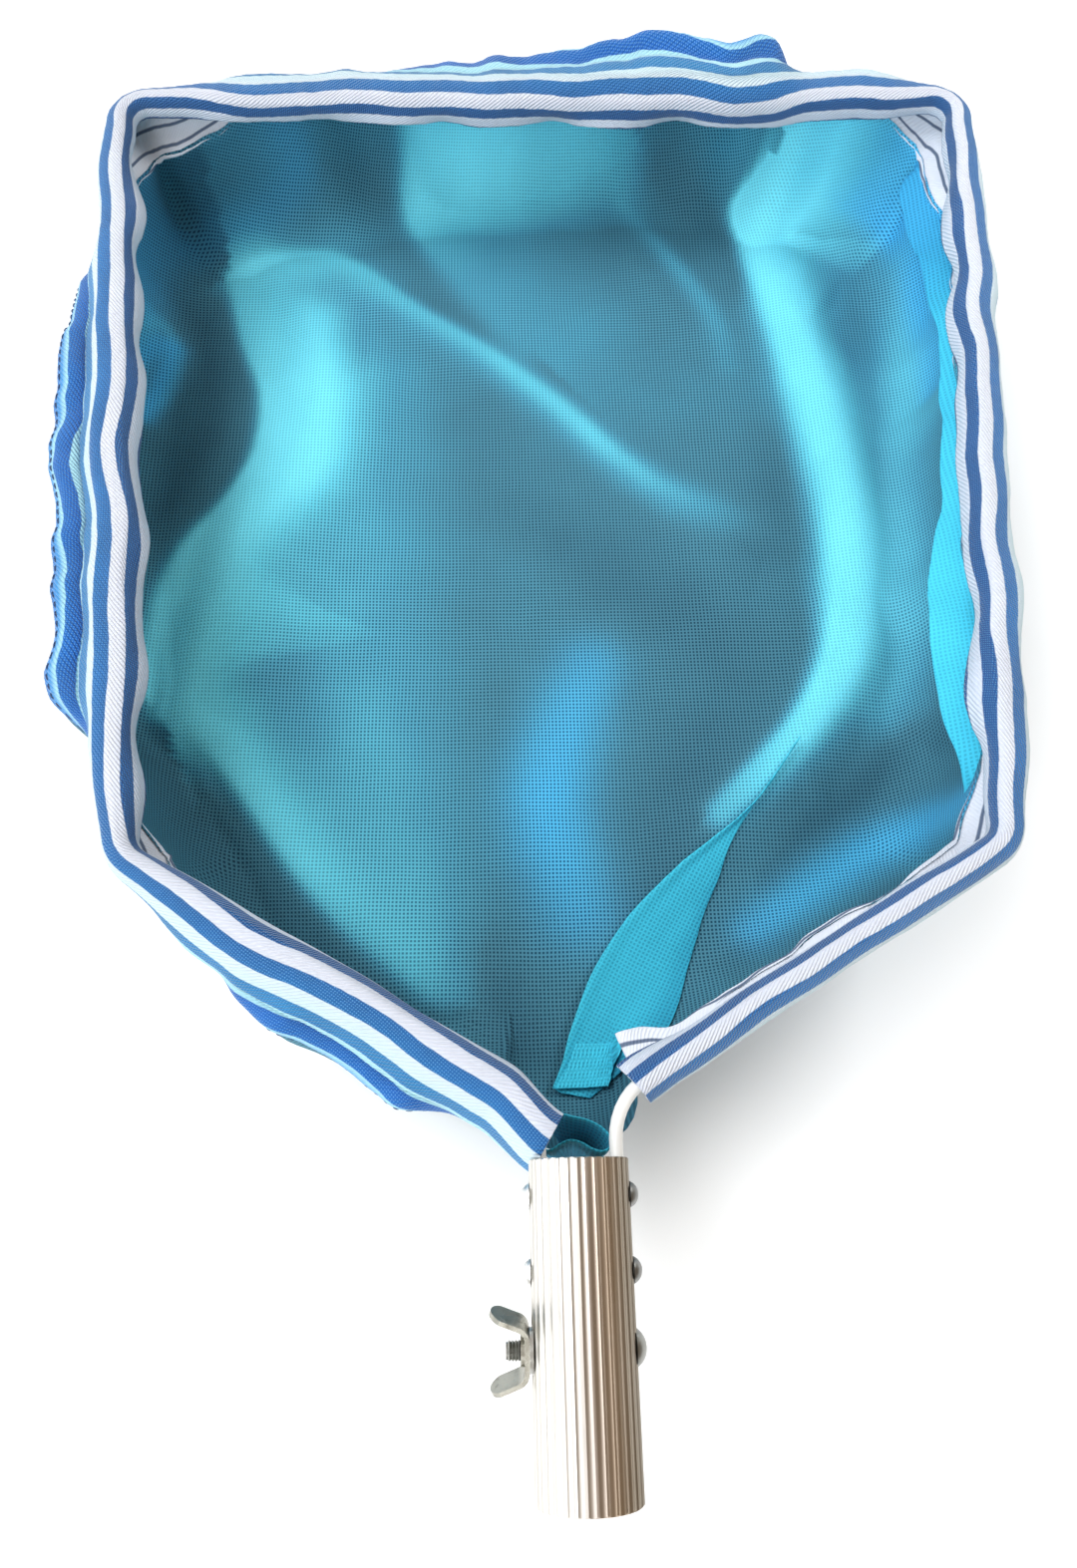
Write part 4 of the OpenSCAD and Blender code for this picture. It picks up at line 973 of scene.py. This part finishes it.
def build_stitches():
    """The seam as a row of single stitches, on the tape's outer face along its edge."""
    starts = np.arange(SEAM_START + 4, TAPE_END - 6, STITCH + STITCH_GAP)
    share = np.linspace(0, 1, STITCH_ROWS)
    s = (starts[:, None] + STITCH * share).ravel()
    rise = 0.75 * np.sin(math.pi * share) ** 0.5 - 0.35
    face = tape_surface(s, np.array([TAPE_W - STITCH_IN - 1, TAPE_W - STITCH_IN]))
    slope = unit(face[:, 1] - face[:, 0])
    away = np.stack([-slope[:, 1], slope[:, 0]], -1)
    lift = (TAPE_T / 2 + np.tile(rise, len(starts)))[:, None]
    sides = []
    for t in np.arange(STITCH_SIDES) * TURN / STITCH_SIDES:
        at = face[:, 1] + away * (lift + STITCH_R * math.sin(t)) + slope * STITCH_R * math.cos(t)
        sides.append(place(s, at[:, 0], at[:, 1], straight=True))
    pts = np.stack(sides, 1).reshape(-1, 3)
    cap = np.arange(STITCH_SIDES)
    faces = []
    for first in np.arange(len(starts)) * STITCH_ROWS * STITCH_SIDES:
        faces += [tuple(f) for f in grid_faces(STITCH_ROWS, STITCH_SIDES, True, first)]
        faces += [tuple(first + cap[::-1]), tuple(first + (STITCH_ROWS - 1) * STITCH_SIDES + cap)]
    return new_mesh("seam_stitches", pts, faces)


stitches = build_stitches()
stitches.data.materials.append(thread_material())
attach(stitches, "handle")
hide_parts("seam_thread")

MATERIALS = {
    "handle_tube": brushed_tube(),
    "frame_wire": coated_wire(),
    # the rivets on the tube's left side are painted lighter: painted light
    "frame_rivets": plated("rivet_steel", (0.26, 0.26, 0.25), 0.28, (0.12, 0.12, 0.11), (0.82, 0.82, 0.8)),
    "clamp_bolt": plated("bolt_plating", (0.3, 0.3, 0.28), 0.2, (0.12, 0.12, 0.1)),
    "bolt_washer": plated("washer_plating", (0.5, 0.5, 0.48), 0.2, (0.2, 0.2, 0.18)),
    "wing_nut": plated("nut_plating", (0.4, 0.39, 0.34), 0.18, (0.08, 0.08, 0.06)),
}
for node, material in MATERIALS.items():
    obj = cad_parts[node]
    obj.data.materials.clear()
    obj.data.materials.append(material)

# -------- stage
FLOOR_Z, FLOOR_HALF = -BAG_DEPTH * MM - 0.0004, 4
floor_corners = [(x * FLOOR_HALF, y * FLOOR_HALF, FLOOR_Z) for x, y in ((-1, -1), (1, -1), (1, 1), (-1, 1))]
floor_mesh = bpy.data.meshes.new("floor")
floor_mesh.from_pydata(floor_corners, [], [(0, 1, 2, 3)])
floor = add_object("floor", floor_mesh)
floor_look = Graph("pale_floor")
floor_look.shade(Base_Color=(0.95, 0.95, 0.95), Roughness=0.9, Specular_IOR_Level=0.1)
floor.data.materials.append(floor_look.mat)

world = bpy.data.worlds.new("studio")
world.use_nodes = True
sky = Nodes(world.node_tree)
background = world.node_tree.nodes["Background"]
# white from the left, dimmer and warmer from the right
sky_side = sky.node("MapRange", sky.split(sky.coords("Generated"))[0], -1.0, 1.0).outputs[0]
sky_light = sky.ramp(sky_side, [
    (0.0, (0.97, 0.99, 1.0)), (0.38, (0.93, 0.95, 0.98)), (0.5, (0.62, 0.57, 0.51)),
    (0.6, (0.36, 0.3, 0.24)), (0.72, (0.21, 0.165, 0.12)), (1.0, (0.25, 0.2, 0.15)),
])
# what lies behind the object is plain and pale from every side
seen = sky.node("LightPath").outputs["Is Camera Ray"]
sky.set(background, "Color", sky.mix(seen, sky_light, (0.8, 0.8, 0.8)))
sky.set(background, "Strength", 1.2)
bpy.context.scene.world = world

# Round area lights: name, place, what each points at, diameter, watts and colour
LIGHTS = [
    ("key", (-0.75, 0.55, 0.95), (0, 0.3, 0), 0.7, 5.5, (0.97, 0.99, 1.0)),
    ("top", (-0.62, 0.4, 1.3), (0, 0.35, 0), 1.1, 5.0, (0.95, 0.98, 1.0)),
    ("fill", (-0.5, -0.75, 0.7), (0, 0.5, -0.03), 0.8, 9.0, (0.95, 0.98, 1.0)),
    ("right", (0.75, 0.8, 0.6), (-0.18, 0.36, -0.04), 0.4, 6.0, (0.95, 0.98, 1.0)),
]
for name, at, towards, size, power, colour in LIGHTS:
    lamp = bpy.data.lights.new(name, "AREA")
    lamp.shape = "DISK"
    lamp.size = size
    lamp.energy = power
    lamp.color = colour
    lamp_obj = add_object(name, lamp)
    lamp_obj.location = at
    lamp_obj.rotation_mode = "QUATERNION"
    lamp_obj.rotation_quaternion = (Vector(towards) - Vector(at)).to_track_quat("-Z", "Y")

# The photo's camera, as fitted to the outline of the frame: lengths in pixels, place in m, turn in degrees
FOCAL_PX, PHOTO_H, SENSOR_MM = 1100.0, 1573.0, 36.0
CAMERA_AT, CAMERA_TURN = (-0.0181, 0.0812, 0.3713), (21.06, -0.78, -1.32)
camera_data = bpy.data.cameras.new("camera")
camera_data.sensor_width = SENSOR_MM
camera_data.lens = FOCAL_PX / PHOTO_H * SENSOR_MM
camera_data.clip_start = 0.01
camera = add_object("camera", camera_data)
camera.location = CAMERA_AT
camera.rotation_euler = Euler([math.radians(a) for a in CAMERA_TURN], "XYZ")
bpy.context.scene.camera = camera
bpy.context.scene.view_settings.view_transform = "Standard"
